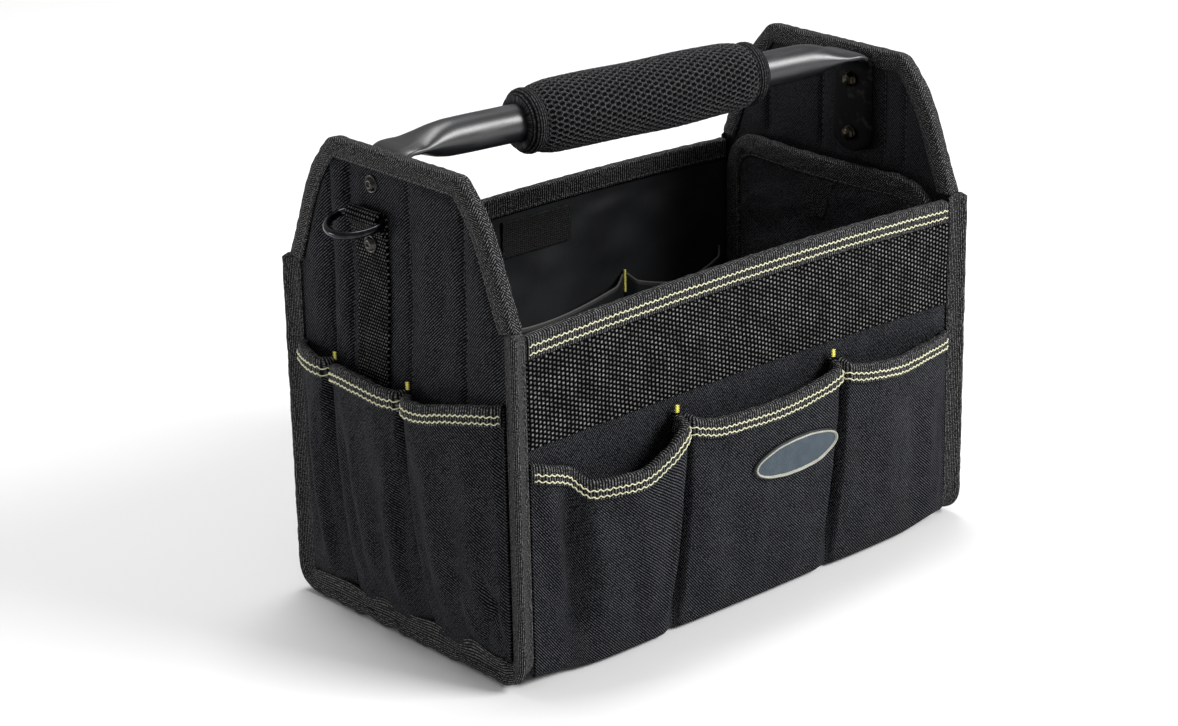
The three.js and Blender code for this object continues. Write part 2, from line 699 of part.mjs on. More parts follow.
// A ring of wire with one straight side, the bar, and a bow. It hangs a little below level.
function strapRing() {
  const half = (RING_WIDTH - RING_WIRE) / 2;
  const corner = 1.25 * RING_WIRE;
  const bend = steps(0, Math.PI / 2, 3).map((a) => [
    half - corner * (1 - Math.sin(a)),
    corner * (1 - Math.cos(a)),
  ]);
  const bow = steps(0, Math.PI / 2, 5).map((a) => [
    half * Math.cos(a),
    mix(corner, RING_REACH, Math.sin(a)),
  ]);
  const rightSide = [...bend, ...bow.slice(1)];
  const leftSide = rightSide.slice(0, -1).map(([a, b]) => [-a, b]);
  const path = [...rightSide, ...leftSide.toReversed()];
  const droop = THREE.MathUtils.degToRad(RING_DROOP);
  const reach = point(-Math.cos(droop), 0, -Math.sin(droop));
  const normal = point(-Math.sin(droop), 0, Math.cos(droop));
  const bar = point(-HALF_LENGTH - BAR_OUT, FITTINGS_OFFSET, RING_HEIGHT);
  const centres = path.map(([across, out]) => beyond(beyond(bar, point(0, 1, 0), across), reach, out));
  const rings = centres.map((centre, i) => {
    const before = centres.at(i - 1);
    const after = centres[(i + 1) % centres.length];
    const side = after.clone().sub(before).normalize().cross(normal);
    return steps(0, 2 * Math.PI, 6)
      .slice(1)
      .map((a) => {
        const radius = RING_WIRE / 2;
        return beyond(beyond(centre, side, radius * Math.cos(a)), normal, radius * Math.sin(a));
      });
  });
  return loft(rings, { hoop: true });
}

// A bolt through the left end, from its head outside to its nut inside.
function bolt(index) {
  const underHead = HALF_LENGTH + CHANNEL_CROWN + GAP + (index === 0 ? STRAP + GAP : 0);
  const nutFace = FOOT_PLANE - FOOT_THICKNESS / 2 - GAP;
  const profile = [
    [0, nutFace - NUT_RISE],
    [NUT_RADIUS * 0.6, nutFace - NUT_RISE],
    [NUT_RADIUS, nutFace - NUT_RISE / 2],
    [NUT_RADIUS, nutFace],
    [BOLT_RADIUS, nutFace],
    [BOLT_RADIUS, underHead],
    [BOLT_HEAD, underHead],
    [BOLT_HEAD, underHead + BOLT_HEAD_RISE / 3],
    [BOLT_HEAD * 0.6, underHead + BOLT_HEAD_RISE],
    [0, underHead + BOLT_HEAD_RISE],
  ].map(([radius, out]) => new THREE.Vector2(radius, out));
  return new THREE.LatheGeometry(profile, 10)
    .rotateZ(Math.PI / 2)
    .translate(0, FITTINGS_OFFSET, BOLT_HEIGHTS[index]);
}

// Steel tube handle: its ends are pressed flat, bent down and bolted inside the end panels. It runs
// slightly askew, from the fittings of one end to those of the other.
function handleTube() {
  const bend = steps(0, Math.PI / 2, 4).map((a) => ({
    x: FOOT_PLANE - FOOT_BEND + FOOT_BEND * Math.cos(a),
    z: HANDLE_HEIGHT - FOOT_BEND + FOOT_BEND * Math.sin(a),
    lean: a,
    round: 0,
  }));
  const change = TUBE_SECTIONS.slice(1).map(({ along, round }) => ({
    x: FOOT_PLANE - FOOT_BEND - FLATTENING * along,
    z: HANDLE_HEIGHT,
    lean: Math.PI / 2,
    round,
  }));
  const half = [{ x: FOOT_PLANE, z: FOOT_LOWER, lean: 0, round: 0 }, ...bend, ...change];
  const section = (round) =>
    steps(0, 2 * Math.PI, 12)
      .slice(1)
      .map((a) => {
        const flatness = mix(0.4, 1, round);
        const press = (value) => Math.sign(value) * Math.abs(value) ** flatness;
        return [
          press(Math.round(1e6 * Math.cos(a)) / 1e6) * mix(FOOT_WIDTH, TUBE, round) * 0.5,
          press(Math.round(1e6 * Math.sin(a)) / 1e6) * mix(FOOT_THICKNESS, TUBE, round) * 0.5,
        ];
      });
  const ring = ({ x, z, lean, round }, side) =>
    section(round).map(([across, over]) =>
      point(
        side * (x + over * Math.cos(lean)),
        (-side * FITTINGS_OFFSET * x) / FOOT_PLANE + across,
        z + over * Math.sin(lean),
      ),
    );
  const rings = [...half.map((at) => ring(at, -1)), ...half.toReversed().map((at) => ring(at, 1))];
  const flat = section(0).map(([a, b]) => new THREE.Vector2(a, b));
  let solid = toSolid(loft(rings, { flat }));
  for (const z of BOLT_HEIGHTS) {
    const hole = boltHole(z);
    solid = solid.subtract(toSolid(hole)).subtract(toSolid(hole.clone().rotateZ(Math.PI)));
  }
  return fromSolid(solid);
}

// A turned sleeve about the X axis with a bore for the handle, from [place along, radius] points.
function sleeve(outer) {
  const bore = TUBE / 2 + GAP;
  const [first, last] = [outer[0][0], outer.at(-1)[0]];
  const profile = [[first, bore], ...outer, [last, bore], [first, bore]];
  return new THREE.LatheGeometry(
    profile.map(([along, radius]) => new THREE.Vector2(radius, along)),
    16,
  ).rotateZ(-Math.PI / 2);
}

function gripSleeve() {
  const half = GRIP_LENGTH / 2 - GRIP_BAND - GAP;
  return sleeve(
    GRIP_SWELL.map(({ along, swell }) => [mix(-half, half, along), mix(GRIP_END, GRIP, swell) / 2]),
  );
}

// Elastic band at one end of the grip, side -1 or 1.
function gripBand(side) {
  const outer = GRIP_LENGTH / 2;
  const profile = [
    [outer - GRIP_BAND, GRIP_END / 2],
    [outer - GRIP_BAND / 4, GRIP_END / 2],
    [outer, GRIP_END / 2 - GRIP_BAND / 4],
  ];
  const geometry = sleeve(profile);
  return side < 0 ? geometry.rotateZ(Math.PI) : geometry;
}

function linerOutline() {
  const half = LINER_WIDTH / 2;
  const radius = BASE_RADIUS - WALL - GAP;
  const corner = { y: HALF_WIDTH - BASE_RADIUS, z: BASE_RISE + BASE_RADIUS };
  const limit = Math.acos(clamp((half - corner.y) / radius));
  const lower = steps(Math.PI / 2, limit, 3).map((a) => [
    corner.y + radius * Math.cos(a),
    corner.z - radius * Math.sin(a),
  ]);
  const upper = linerCorner();
  const right = [...lower, ...upper];
  return [...right, ...right.map(([y, z]) => [-y, z]).toReversed()];
}

// Round upper corner of the liner, from its side to its top.
const linerCorner = () =>
  steps(0, Math.PI / 2, 5).map((a) => [
    LINER_WIDTH / 2 - LINER_RADIUS * (1 - Math.cos(a)),
    LINER_HEIGHT - LINER_RADIUS * (1 - Math.sin(a)),
  ]);

// Stiff sheet inside an end, which makes a flat pocket against the end panel.
function liner() {
  const columns = steps(-LINER_WIDTH / 2, LINER_WIDTH / 2, 8);
  const levels = steps(BASE_RISE, LINER_HEIGHT, 5);
  const skin = (inward) => levels.map((z) => columns.map((y) => linerPoint(y, z, inward)));
  const outline = prismAlongX(linerOutline(), -HALF_LENGTH, -END_INNER + 4 * LINER_BOW);
  return fromSolid(toSolid(sheetBetween(skin(0), skin(LINER))).intersect(toSolid(outline)));
}

// Tape over the sides and top of the liner.
function linerBinding() {
  const corner = linerCorner();
  const side = steps(LINER_TAPE_FOOT, corner[0][1], 3).map((z) => [LINER_WIDTH / 2, z]);
  const right = [...side.slice(0, -1), ...corner];
  const top = [0.5, 0, -0.5].map((share) => [share * (LINER_WIDTH / 2 - LINER_RADIUS), LINER_HEIGHT]);
  const path = [...right, ...top, ...right.map(([y, z]) => [-y, z]).toReversed()];
  const stations = path.map(([y, z], i) => {
    const before = path[Math.max(0, i - 1)];
    const after = path[Math.min(path.length - 1, i + 1)];
    const inward = mitre(before, [y, z], after, i > 0 && i < path.length - 1);
    return {
      edge: linerPoint(y, z, 0),
      root: linerPoint(y + inward[0] * TAPE_FOLD, z + inward[1] * TAPE_FOLD, 0),
      out: point(-1, 0, 0),
    };
  });
  return foldedTape(stations, LINER, { outside: CURVE_EASE, inside: CURVE_EASE });
}

// Short tapered tab that hangs from the liner's tape.
function linerTab() {
  const top = LINER_HEIGHT - TAPE_FOLD - GAP;
  const skin = (inward) =>
    steps(0, 1, 3).map((down) =>
      steps(-0.5, 0.5, 3).map((share) =>
        linerPoint(TAB.middle + share * mix(TAB.top, TAB.foot, down), top - down * TAB.length, inward),
      ),
    );
  return sheetBetween(skin(LINER + CURVE_EASE), skin(LINER + CURVE_EASE + TAB.thickness));
}

function innerPocket({ from, to }) {
  const skin = pocketSkin({
    from: from * HALF_LENGTH + GAP,
    to: to * HALF_LENGTH - GAP,
    sections: INNER_SECTIONS,
    top: INNER_TOP,
    lower: () => BASE_RADIUS + BASE_RISE + GAP,
    depth: INNER_DEPTH,
    sag: INNER_SAG,
    place: (x, z, inward) => backInnerPoint(x, z, inward + GAP),
    cover: INNER_CLOTH,
  });
  return sheetBehind(skin, INNER_CLOTH, point(0, -1, 0)).geometry;
}

// Patch of hook tape high on the inside of the back wall.
function hookPatch() {
  const columns = steps(PATCH.middle - PATCH.width / 2, PATCH.middle + PATCH.width / 2, 4);
  const levels = [PATCH_TOP - PATCH.height, PATCH_TOP - PATCH.height / 2, PATCH_TOP];
  const skin = (inward) => levels.map((z) => columns.map((x) => backInnerPoint(x, z, inward)));
  return sheetBetween(skin(CURVE_EASE), skin(CURVE_EASE + PATCH.thickness));
}

// Soft oval badge lying on the middle front pocket.
function badge() {
  const pocket = SIDE_POCKETS[1];
  const span = (pocket.to - pocket.from) * HALF_LENGTH;
  const clothOut = (x, z) => {
    const across = (x - pocket.from * HALF_LENGTH) / span;
    const up = z / (POCKET_TOP - lookup(pocket.sections, "across", "sag", across) * POCKET_SAG);
    const full = lookup(FULLNESS, "up", "full", up);
    return CLOTH + 2 * GAP + lookup(pocket.sections, "across", "out", across) * POCKET_DEPTH * full;
  };
  const columns = steps(BADGE.middle - BADGE.width / 2, BADGE.middle + BADGE.width / 2, 6);
  const levels = steps(BADGE.level - BADGE.height / 2, BADGE.level + BADGE.height / 2, 2);
  const skin = (out) =>
    levels.map((z) => columns.map((x) => frontPoint(x, z, clothOut(x, z) + GAP + out)));
  const outline = new THREE.Shape().absellipse(0, 0, BADGE.width / 2, BADGE.height / 2, 0, 2 * Math.PI);
  const prism = new THREE.ExtrudeGeometry(outline, { depth: WIDTH, bevelEnabled: false, curveSegments: 12 })
    .rotateX(Math.PI / 2)
    .translate(BADGE.middle, 0, BADGE.level);
  const solid = toSolid(sheetBetween(skin(BADGE.thickness), skin(0))).intersect(toSolid(prism));
  return fromSolid(solid);
}

function add(group, name, geometry, material) {
  const mesh = new THREE.Mesh(geometry, material);
  mesh.name = name;
  group.add(mesh);
}

// Materials
const finish = (color, roughness, metalness = 0) =>
  new THREE.MeshStandardMaterial({ color, roughness, metalness });
const cloth = finish(0x15161a, 0.85);
const lining = finish(0x1b1d1f, 0.8);
const webbing = finish(0x1c1c1b, 0.9);
const tape = finish(0x1a1917, 0.85);
const knit = finish(0x121315, 0.95);
const paintedSteel = finish(0x25272a, 0.4, 0.6);
const plating = finish(0x1a1a1c, 0.25, 0.9);
const boltSteel = finish(0x4a4843, 0.35, 1);
const badgeRubber = finish(0x58646e, 0.6);
const hookTape = finish(0x141414, 1);

const tote = new THREE.Group();

// The outer pockets end at the seams' tapes, and the dividers are shares of the whole length.
const alongWall = (share) => share * (Math.abs(share) === 1 ? TRIM_LENGTH : HALF_LENGTH);

function placeSide(side, group) {
  add(group, `${side}_rim_tape`, rimTape(), tape);
  add(group, `${side}_webbing_band`, webbingBand(), webbing);
  for (const { name, from, to, sections } of SIDE_POCKETS) {
    const skin = pocketSkin({
      from: alongWall(from) + GAP,
      to: alongWall(to) - GAP,
      sections,
      top: POCKET_TOP,
      lower: (x) => GAP + CLOTH / 2 + HEM_LIFT * baseLevel(x),
      depth: POCKET_DEPTH,
      sag: POCKET_SAG,
      place: frontPoint,
      tuck: (x) => HEM_TUCK * (1 - (HEM_LIFT * baseLevel(x)) / BASE_RISE),
    });
    const pieces = pocketPieces(skin, sections, point(0, -1, 0));
    add(group, `${side}_${name}`, pieces.cloth, cloth);
    add(group, `${side}_${name}_tape`, pieces.tape, tape);
  }
}

const front = new THREE.Group();
const back = new THREE.Group();
back.rotation.z = Math.PI;
add(tote, "body_wrap", bodyWrap(), cloth);
placeSide("front", front);
placeSide("back", back);
tote.add(front, back);

function placeFittings(side, group) {
  add(group, `${side}_strap`, strap(), webbing);
  add(group, `${side}_strap_ring`, strapRing(), plating);
  add(group, `${side}_lower_bolt`, bolt(0), boltSteel);
  add(group, `${side}_upper_bolt`, bolt(1), boltSteel);
  add(group, `${side}_liner`, liner(), lining);
  add(group, `${side}_liner_binding`, linerBinding(), tape);
}

function placeEnd(side, group) {
  add(group, `${side}_end_panel`, endPanel(), cloth);
  add(group, `${side}_end_binding`, endBinding(), tape);
  add(group, `${side}_corner_seam`, cornerSeam(), tape);
  const tacks = [1, -1].map((sign) => FITTINGS_OFFSET + (sign * END_POCKET_WIDTH) / 2);
  const edges = [TRIM_WIDTH, ...tacks, -TRIM_WIDTH];
  END_POCKETS.forEach(({ name, sections }, i) => {
    const skin = pocketSkin({
      from: edges[i] - GAP,
      to: edges[i + 1] + GAP,
      sections,
      top: END_POCKET_TOP,
      lower: seamTapeEdge,
      depth: END_POCKET_DEPTH,
      sag: END_POCKET_SAG,
      place: endPoint,
    });
    const pieces = pocketPieces(skin, sections, point(-1, 0, 0));
    add(group, `${side}_end_${name}`, pieces.cloth, cloth);
    add(group, `${side}_end_${name}_tape`, pieces.tape, tape);
  });
}

const leftEnd = new THREE.Group();
const rightEnd = new THREE.Group();
rightEnd.rotation.z = Math.PI;
placeEnd("left", leftEnd);
placeEnd("right", rightEnd);
placeFittings("left", leftEnd);
placeFittings("right", rightEnd);
add(rightEnd, "liner_tab", linerTab(), webbing);
tote.add(leftEnd, rightEnd);

const grip = new THREE.Group();
grip.rotation.z = -Math.atan2(FITTINGS_OFFSET, FOOT_PLANE);
grip.position.set(GRIP_SHIFT, (-GRIP_SHIFT * FITTINGS_OFFSET) / FOOT_PLANE, HANDLE_HEIGHT);
add(tote, "handle_tube", handleTube(), paintedSteel);
add(grip, "grip_sleeve", gripSleeve(), knit);
add(grip, "left_grip_band", gripBand(-1), tape);
add(grip, "right_grip_band", gripBand(1), tape);
tote.add(grip);

for (const pocket of INNER_POCKETS) add(tote, pocket.name, innerPocket(pocket), lining);
add(tote, "hook_patch", hookPatch(), hookTape);
add(front, "badge", badge(), badgeRubber);

export default tote;
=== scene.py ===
"""Looks of an open top tool tote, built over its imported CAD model.

Black twill with padded raised ends, bound seams, pockets all round, a webbing band under each rim, pale
double stitching, a bolted steel tube handle with a mesh grip, and a strap ring on each end.

Shapes are worked out in millimetres in the model's frame: +Z up, +X along the length, -Y to the front.
Each end is shaped at the left and turned half round for the right, and each side wall's trimmings are
shaped at the front and turned half round for the back, as in the CAD model.
"""

import logging
import math
from collections.abc import Callable, Mapping, Sequence
from dataclasses import dataclass, field
from enum import Enum
from typing import Protocol

import bpy
import numpy as np
from mathutils import Matrix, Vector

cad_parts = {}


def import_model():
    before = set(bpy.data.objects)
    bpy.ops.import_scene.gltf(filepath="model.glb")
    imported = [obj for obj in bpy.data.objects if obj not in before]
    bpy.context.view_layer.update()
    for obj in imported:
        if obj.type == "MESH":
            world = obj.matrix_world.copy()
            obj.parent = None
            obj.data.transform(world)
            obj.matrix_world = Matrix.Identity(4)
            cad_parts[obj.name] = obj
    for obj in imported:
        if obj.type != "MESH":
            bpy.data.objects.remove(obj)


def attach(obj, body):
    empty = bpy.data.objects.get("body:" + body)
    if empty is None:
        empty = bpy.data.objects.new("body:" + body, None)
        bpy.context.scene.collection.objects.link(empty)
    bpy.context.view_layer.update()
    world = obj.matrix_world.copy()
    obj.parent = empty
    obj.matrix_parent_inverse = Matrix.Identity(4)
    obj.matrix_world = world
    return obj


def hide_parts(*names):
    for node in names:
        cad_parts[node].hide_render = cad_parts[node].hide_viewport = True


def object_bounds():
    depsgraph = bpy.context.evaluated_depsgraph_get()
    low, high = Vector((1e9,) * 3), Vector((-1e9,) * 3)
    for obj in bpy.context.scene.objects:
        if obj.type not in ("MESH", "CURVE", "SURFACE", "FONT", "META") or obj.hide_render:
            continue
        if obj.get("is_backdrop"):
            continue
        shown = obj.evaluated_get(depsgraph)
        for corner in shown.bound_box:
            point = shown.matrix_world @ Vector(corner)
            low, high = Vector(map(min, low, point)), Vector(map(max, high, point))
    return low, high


log = logging.getLogger("tote")

MM = 0.001  # metres in a millimetre
TURN = 2.0 * math.pi
Array = np.ndarray
X_AXIS, Y_AXIS, Z_AXIS = np.eye(3)
Colour = tuple[float, float, float]


# Numbers and curves


def smooth(t: Array | float) -> Array:
    """Return 0 below 0, 1 above 1 and the cubic 3t^2 - 2t^3 between."""
    t = np.clip(t, 0.0, 1.0)
    return t * t * (3.0 - 2.0 * t)


def mix(a: Array | float, b: Array | float, t: Array | float) -> Array:
    """Return the value a share t of the way from a to b."""
    return a + (b - a) * t


def through(table: Sequence[tuple[float, float]], at: Array | float) -> Array:
    """Draw a smooth curve through the rows of a table.

    Between two rows it is the cubic with the rows' values and slopes. A row's slope is the harmonic mean
    of the slopes on its two sides, or 0 where these differ in sign, so the curve never overshoots.

    Args:
        table: Rows of a place and a value, with rising places.
        at: Places to look up.

    Returns:
        The curve's value at each place.
    """
    x, y = np.array(table, float).T
    span = np.diff(x)
    rise = np.diff(y) / span
    slope = np.concatenate((rise[:1], np.zeros(len(x) - 2), rise[-1:]))
    both = rise[:-1] * rise[1:]
    total = np.where(both > 0, rise[:-1] + rise[1:], 1.0)
    slope[1:-1] = np.where(both > 0, 2.0 * both / total, 0.0)
    at = np.asarray(at, float)
    i = np.clip(np.searchsorted(x, at, side="right") - 1, 0, len(span) - 1)
    t = np.clip((at - x[i]) / span[i], 0.0, 1.0)
    start = (1 + 2 * t) * (1 - t) ** 2 * y[i] + t * (1 - t) ** 2 * span[i] * slope[i]
    end = t * t * (3 - 2 * t) * y[i + 1] + t * t * (t - 1) * span[i] * slope[i + 1]
    return start + end


def ripple(a: Array, b: Array, seed: int, length: float, stretch: float = 1.0) -> Array:
    """Add up seven sine waves in random directions, for cloth that doesn't lie dead flat.

    Args:
        a: First coordinate on the cloth, mm.
        b: Second coordinate on the cloth, mm.
        seed: Seed of the random directions and phases.
        length: Mean wave length, mm.
        stretch: How many times longer the waves are along b.

    Returns:
        Heights of about -1 to 1.
    """
    rng = np.random.default_rng(seed)
    total = np.zeros(np.broadcast(a, b).shape)
    for angle, size, phase in rng.random((7, 3)):
        number = TURN / (length * mix(0.6, 1.7, size))
        way = a * math.cos(math.pi * angle) + b * math.sin(math.pi * angle) / stretch
        total += np.sin(number * way + TURN * phase)
    return total / math.sqrt(7)


def running(steps: Array) -> Array:
    """Return the running total of some steps, from 0."""
    return np.concatenate(([0.0], np.cumsum(steps)))


def quarter(count: int) -> Array:
    """Return even angles from 0 to a quarter turn."""
    return np.linspace(0, math.pi / 2, count)


def whole_turn(count: int) -> Array:
    """Return even angles round a whole turn, without its end."""
    return np.linspace(0, TURN, count, endpoint=False)


def length_along(points: Array) -> Array:
    """Return each point's distance along a polyline from its start."""
    return running(np.linalg.norm(np.diff(points, axis=0), axis=1))


def read_off(points: Array, run: Array, at: Array) -> Array:
    """Return the points at some distances along a polyline, whose own points stand at run."""
    return np.stack([np.interp(at, run, column) for column in points.T], axis=-1)


def resampled(points: Array, spacing: float, softness: float) -> Array:
    """Lay even points along a polyline.

    Args:
        points: Corners of the polyline.
        spacing: Distance between two new points, mm.
        softness: Reach of the running mean that rounds its corners, mm. The two ends stay.

    Returns:
        Points an even distance apart.
    """
    run = length_along(points)
    count = max(3, round(run[-1] / spacing) + 1)
    at = np.linspace(0.0, run[-1], count)
    reach = np.minimum(softness, np.minimum(at, run[-1] - at))
    shifts = np.linspace(-1.0, 1.0, 9)
    near = at[:, None] + reach[:, None] * shifts
    return read_off(points, run, near).mean(axis=1)


def unit(vectors: Array) -> Array:
    """Return vectors scaled to length 1."""
    return vectors / np.maximum(np.linalg.norm(vectors, axis=-1, keepdims=True), 1e-12)


def stacked(x: Array | float, y: Array | float, z: Array | float) -> Array:
    """Stack coordinates that broadcast together into one array of points."""
    return np.stack(np.broadcast_arrays(x, y, z), axis=-1).astype(float)


def lattice(a: Array, b: Array) -> Array:
    """Return the grid of places (a, b), with a row for each a."""
    return np.stack(np.meshgrid(a, b, indexing="ij"), axis=2)


def circles(side: Array, up: Array, count: int) -> Array:
    """Return points round the unit circles that pairs of directions span, one circle in a row."""
    angle = whole_turn(count)[:, None]
    return np.cos(angle) * side[:, None] + np.sin(angle) * up[:, None]


def leftward(path: Array) -> Array:
    """Return the unit directions to the left of a flat path."""
    tangent = unit(np.gradient(path, axis=0))
    return np.stack((-tangent[:, 1], tangent[:, 0]), axis=1)


def facing(points: Array, toward: Array) -> Array:
    """Return a grid's unit normals, the cross product of its two slopes, on the side of a direction."""
    normal = unit(np.cross(np.gradient(points, axis=1), np.gradient(points, axis=0)))
    return normal if float((normal * toward).sum(axis=-1).mean()) > 0 else -normal


@dataclass(frozen=True)
class Fold:
    """A ridge or a valley in cloth along a straight line, fading out at both ends.

    Its height is height * exp(-(d / width)^2), with d the distance to the line, times the square root of
    a half wave of the sine along the line.
    """

    start: tuple[float, float]
    end: tuple[float, float]
    width: float
    height: float

    def lift(self, a: Array, b: Array) -> Array:
        """Return the fold's height at places (a, b) on the cloth."""
        across = np.array(self.end) - np.array(self.start)
        t = ((a - self.start[0]) * across[0] + (b - self.start[1]) * across[1]) / float(across @ across)
        near = np.clip(t, 0.0, 1.0)
        away = np.hypot(a - self.start[0] - near * across[0], b - self.start[1] - near * across[1])
        fade = np.sqrt(np.sin(math.pi * np.clip(t, 0.02, 0.98)))
        return self.height * np.exp(-((away / self.width) ** 2)) * fade


def folds_of(*rows: Sequence[float]) -> tuple[Fold, ...]:
    """Return folds from rows of a start (a, b), an end (a, b), a width and a height."""
    return tuple(Fold(row[:2], row[2:4], row[4], row[5]) for row in rows)


def folded(folds: Sequence[Fold], a: Array, b: Array) -> Array:
    """Return the summed heights of some folds at places (a, b)."""
    total = np.zeros(np.broadcast(a, b).shape)
    for fold in folds:
        total += fold.lift(a, b)
    return total


@dataclass(frozen=True)
class Span:
    """Grid lines along one side of a sheet, crowded in a quarter circle at both ends.

    Lift is the sheet's thickness there as a share of the full one, so that its edges are round.
    """

    start: float
    end: float
    count: int
    rim: float
    rows: int = 3

    @property
    def places(self) -> Array:
        """Places of the grid lines."""
        sign = math.copysign(1.0, self.end - self.start)
        edge = sign * self.rim * (1 - np.cos(quarter(self.rows + 1)[:-1]))
        middle = np.linspace(self.start + sign * self.rim, self.end - sign * self.rim, self.count)
        return np.concatenate((self.start + edge, middle, (self.end - edge)[::-1]))

    @property
    def lift(self) -> Array:
        """Shares of the full thickness at the grid lines."""
        edge = np.sin(quarter(self.rows + 1)[:-1])
        return np.concatenate((edge, np.ones(self.count), edge[::-1]))


# Meshes


def border_of(index: Array) -> Array:
    """Return the indices round the border of a grid of indices."""
    return np.concatenate((index[0, :-1], index[:-1, -1], index[-1, :0:-1], index[:0:-1, 0]))


def quads_of(index: Array) -> Array:
    """Return the faces of a grid, one quad for each cell."""
    corners = (index[:-1, :-1], index[:-1, 1:], index[1:, 1:], index[1:, :-1])
    return np.stack(corners, axis=2).reshape(-1, 4, *index.shape[2:])


@dataclass
class Form:
    """A mesh under way: points in mm, faces whose fourth corner is -1 in a triangle, and on each face
    the corners' places on the cloth in mm and the number of its finish."""

    points: Array
    faces: Array
    weave: Array
    finish: Array

    @classmethod
    def of(cls, points: Array, faces: Array, weave: Array, finish: int = 0) -> "Form":
        """Return a form of one closed shape with its faces turned outwards."""
        form = cls(points, faces, weave, np.full(len(faces), finish))
        return form.outward()

    @classmethod
    def shell(cls, outer: Array, inner: Array, weave: Array, shared: bool = True) -> "Form":
        """Close the space between two grids of points.

        Args:
            outer: Grid of points of one skin.
            inner: Grid of the same size for the other skin.
            weave: Places on the cloth, one for each point of a skin.
            shared: Whether both skins run together at the border. If not, a strip closes it.

        Returns:
            The closed form.
        """
        rows, columns = outer.shape[:2]
        size = rows * columns
        outside = np.arange(size).reshape(rows, columns)
        inside = outside + size
        ring = border_of(outside)
        if shared:
            inside.reshape(-1)[ring] = ring
        faces = [quads_of(outside), quads_of(inside)[:, ::-1]]
        corners = quads_of(weave)
        places = [corners, corners[:, ::-1]]
        if not shared:
            after = np.roll(ring, -1)
            strip = np.stack((after, ring, ring + size, after + size), axis=1)
            flat = weave.reshape(-1, 2)
            faces.append(strip)
            places.append(np.stack((flat[after], flat[ring], flat[ring], flat[after]), axis=1))
        points = np.concatenate((outer.reshape(-1, 3), inner.reshape(-1, 3)))
        return cls.of(points, np.concatenate(faces), np.concatenate(places))

    @classmethod
    def sweep(cls, rings: Array, hoop: bool = False, weave: Array | None = None, finish: int = 0) -> "Form":
        """Skin over rings of points, with a fan over each end, or joined end to end as a hoop.

        Args:
            rings: Points as rings x points round each x 3.
            hoop: Whether the last ring joins the first.
            weave: Places on the cloth, with one more column than a ring has points, and one more row for
                a hoop. If not given, they are the distance along and the distance round.
            finish: Number of the finish.

        Returns:
            The closed form.
        """
        count, around = rings.shape[:2]
        index = np.arange(count * around).reshape(count, around)
        index = np.concatenate((index, index[:, :1]), axis=1)
        if hoop:
            index = np.concatenate((index, index[:1]))
        if weave is None:
            closed = np.concatenate((rings, rings[:1])) if hoop else rings
            run = length_along(closed.mean(axis=1))
            loop = np.concatenate((rings, rings[:, :1]), axis=1)
            step = np.linalg.norm(np.diff(loop, axis=1), axis=2).mean(axis=0)
            weave = lattice(run, running(step))
        points = rings.reshape(-1, 3)
        faces = [quads_of(index)]
        places = [quads_of(weave)]
        if not hoop:
            for row, tip in ((0, len(points)), (count - 1, len(points) + 1)):
                ring, after = index[row, :-1], index[row, 1:]
                fan = np.stack((ring, after, np.full(around, tip), np.full(around, -1)), axis=1)
                faces.append(fan if row else fan[:, [1, 0, 2, 3]])
                edge = weave[row]
                centre = np.broadcast_to(edge.mean(axis=0), (around, 2))
                corner = np.stack((edge[:-1], edge[1:], centre, centre), axis=1)
                places.append(corner if row else corner[:, [1, 0, 2, 3]])
            points = np.concatenate((points, rings[[0, -1]].mean(axis=1)))
        return cls.of(points, np.concatenate(faces), np.concatenate(places), finish)

    @classmethod
    def joined(cls, forms: Sequence["Form"]) -> "Form":
        """Return several forms as one, with their points kept apart."""
        starts = np.cumsum([0] + [len(form.points) for form in forms[:-1]])
        faces = [np.where(form.faces < 0, -1, form.faces + start) for form, start in zip(forms, starts)]
        return cls(
            np.concatenate([form.points for form in forms]),
            np.concatenate(faces),
            np.concatenate([form.weave for form in forms]),
            np.concatenate([form.finish for form in forms]),
        )

    def outward(self) -> "Form":
        """Turn every face round if the volume, summed over the faces' cones from the origin, is negative."""
        a, b, c, d = (self.points[self.faces[:, k]] for k in range(4))
        quad = self.faces[:, 3] >= 0
        volume = np.einsum("ij,ij->i", a, np.cross(b, c)).sum()
        volume += np.einsum("ij,ij->i", a, np.cross(c, d))[quad].sum()
        if volume < 0:
            order = np.where(quad[:, None], [3, 2, 1, 0], [2, 1, 0, 3])
            self.faces = np.take_along_axis(self.faces, order, axis=1)
            self.weave = np.take_along_axis(self.weave, order[:, :, None], axis=1)
        return self

    def painted(self, finish: int) -> "Form":
        """Return the form with all its faces in one finish."""
        return Form(self.points, self.faces, self.weave, np.full(len(self.faces), finish))

    def turned(self) -> "Form":
        """Return the form turned half round the Z axis."""
        return Form(self.points * (-1.0, -1.0, 1.0), self.faces, self.weave, self.finish)

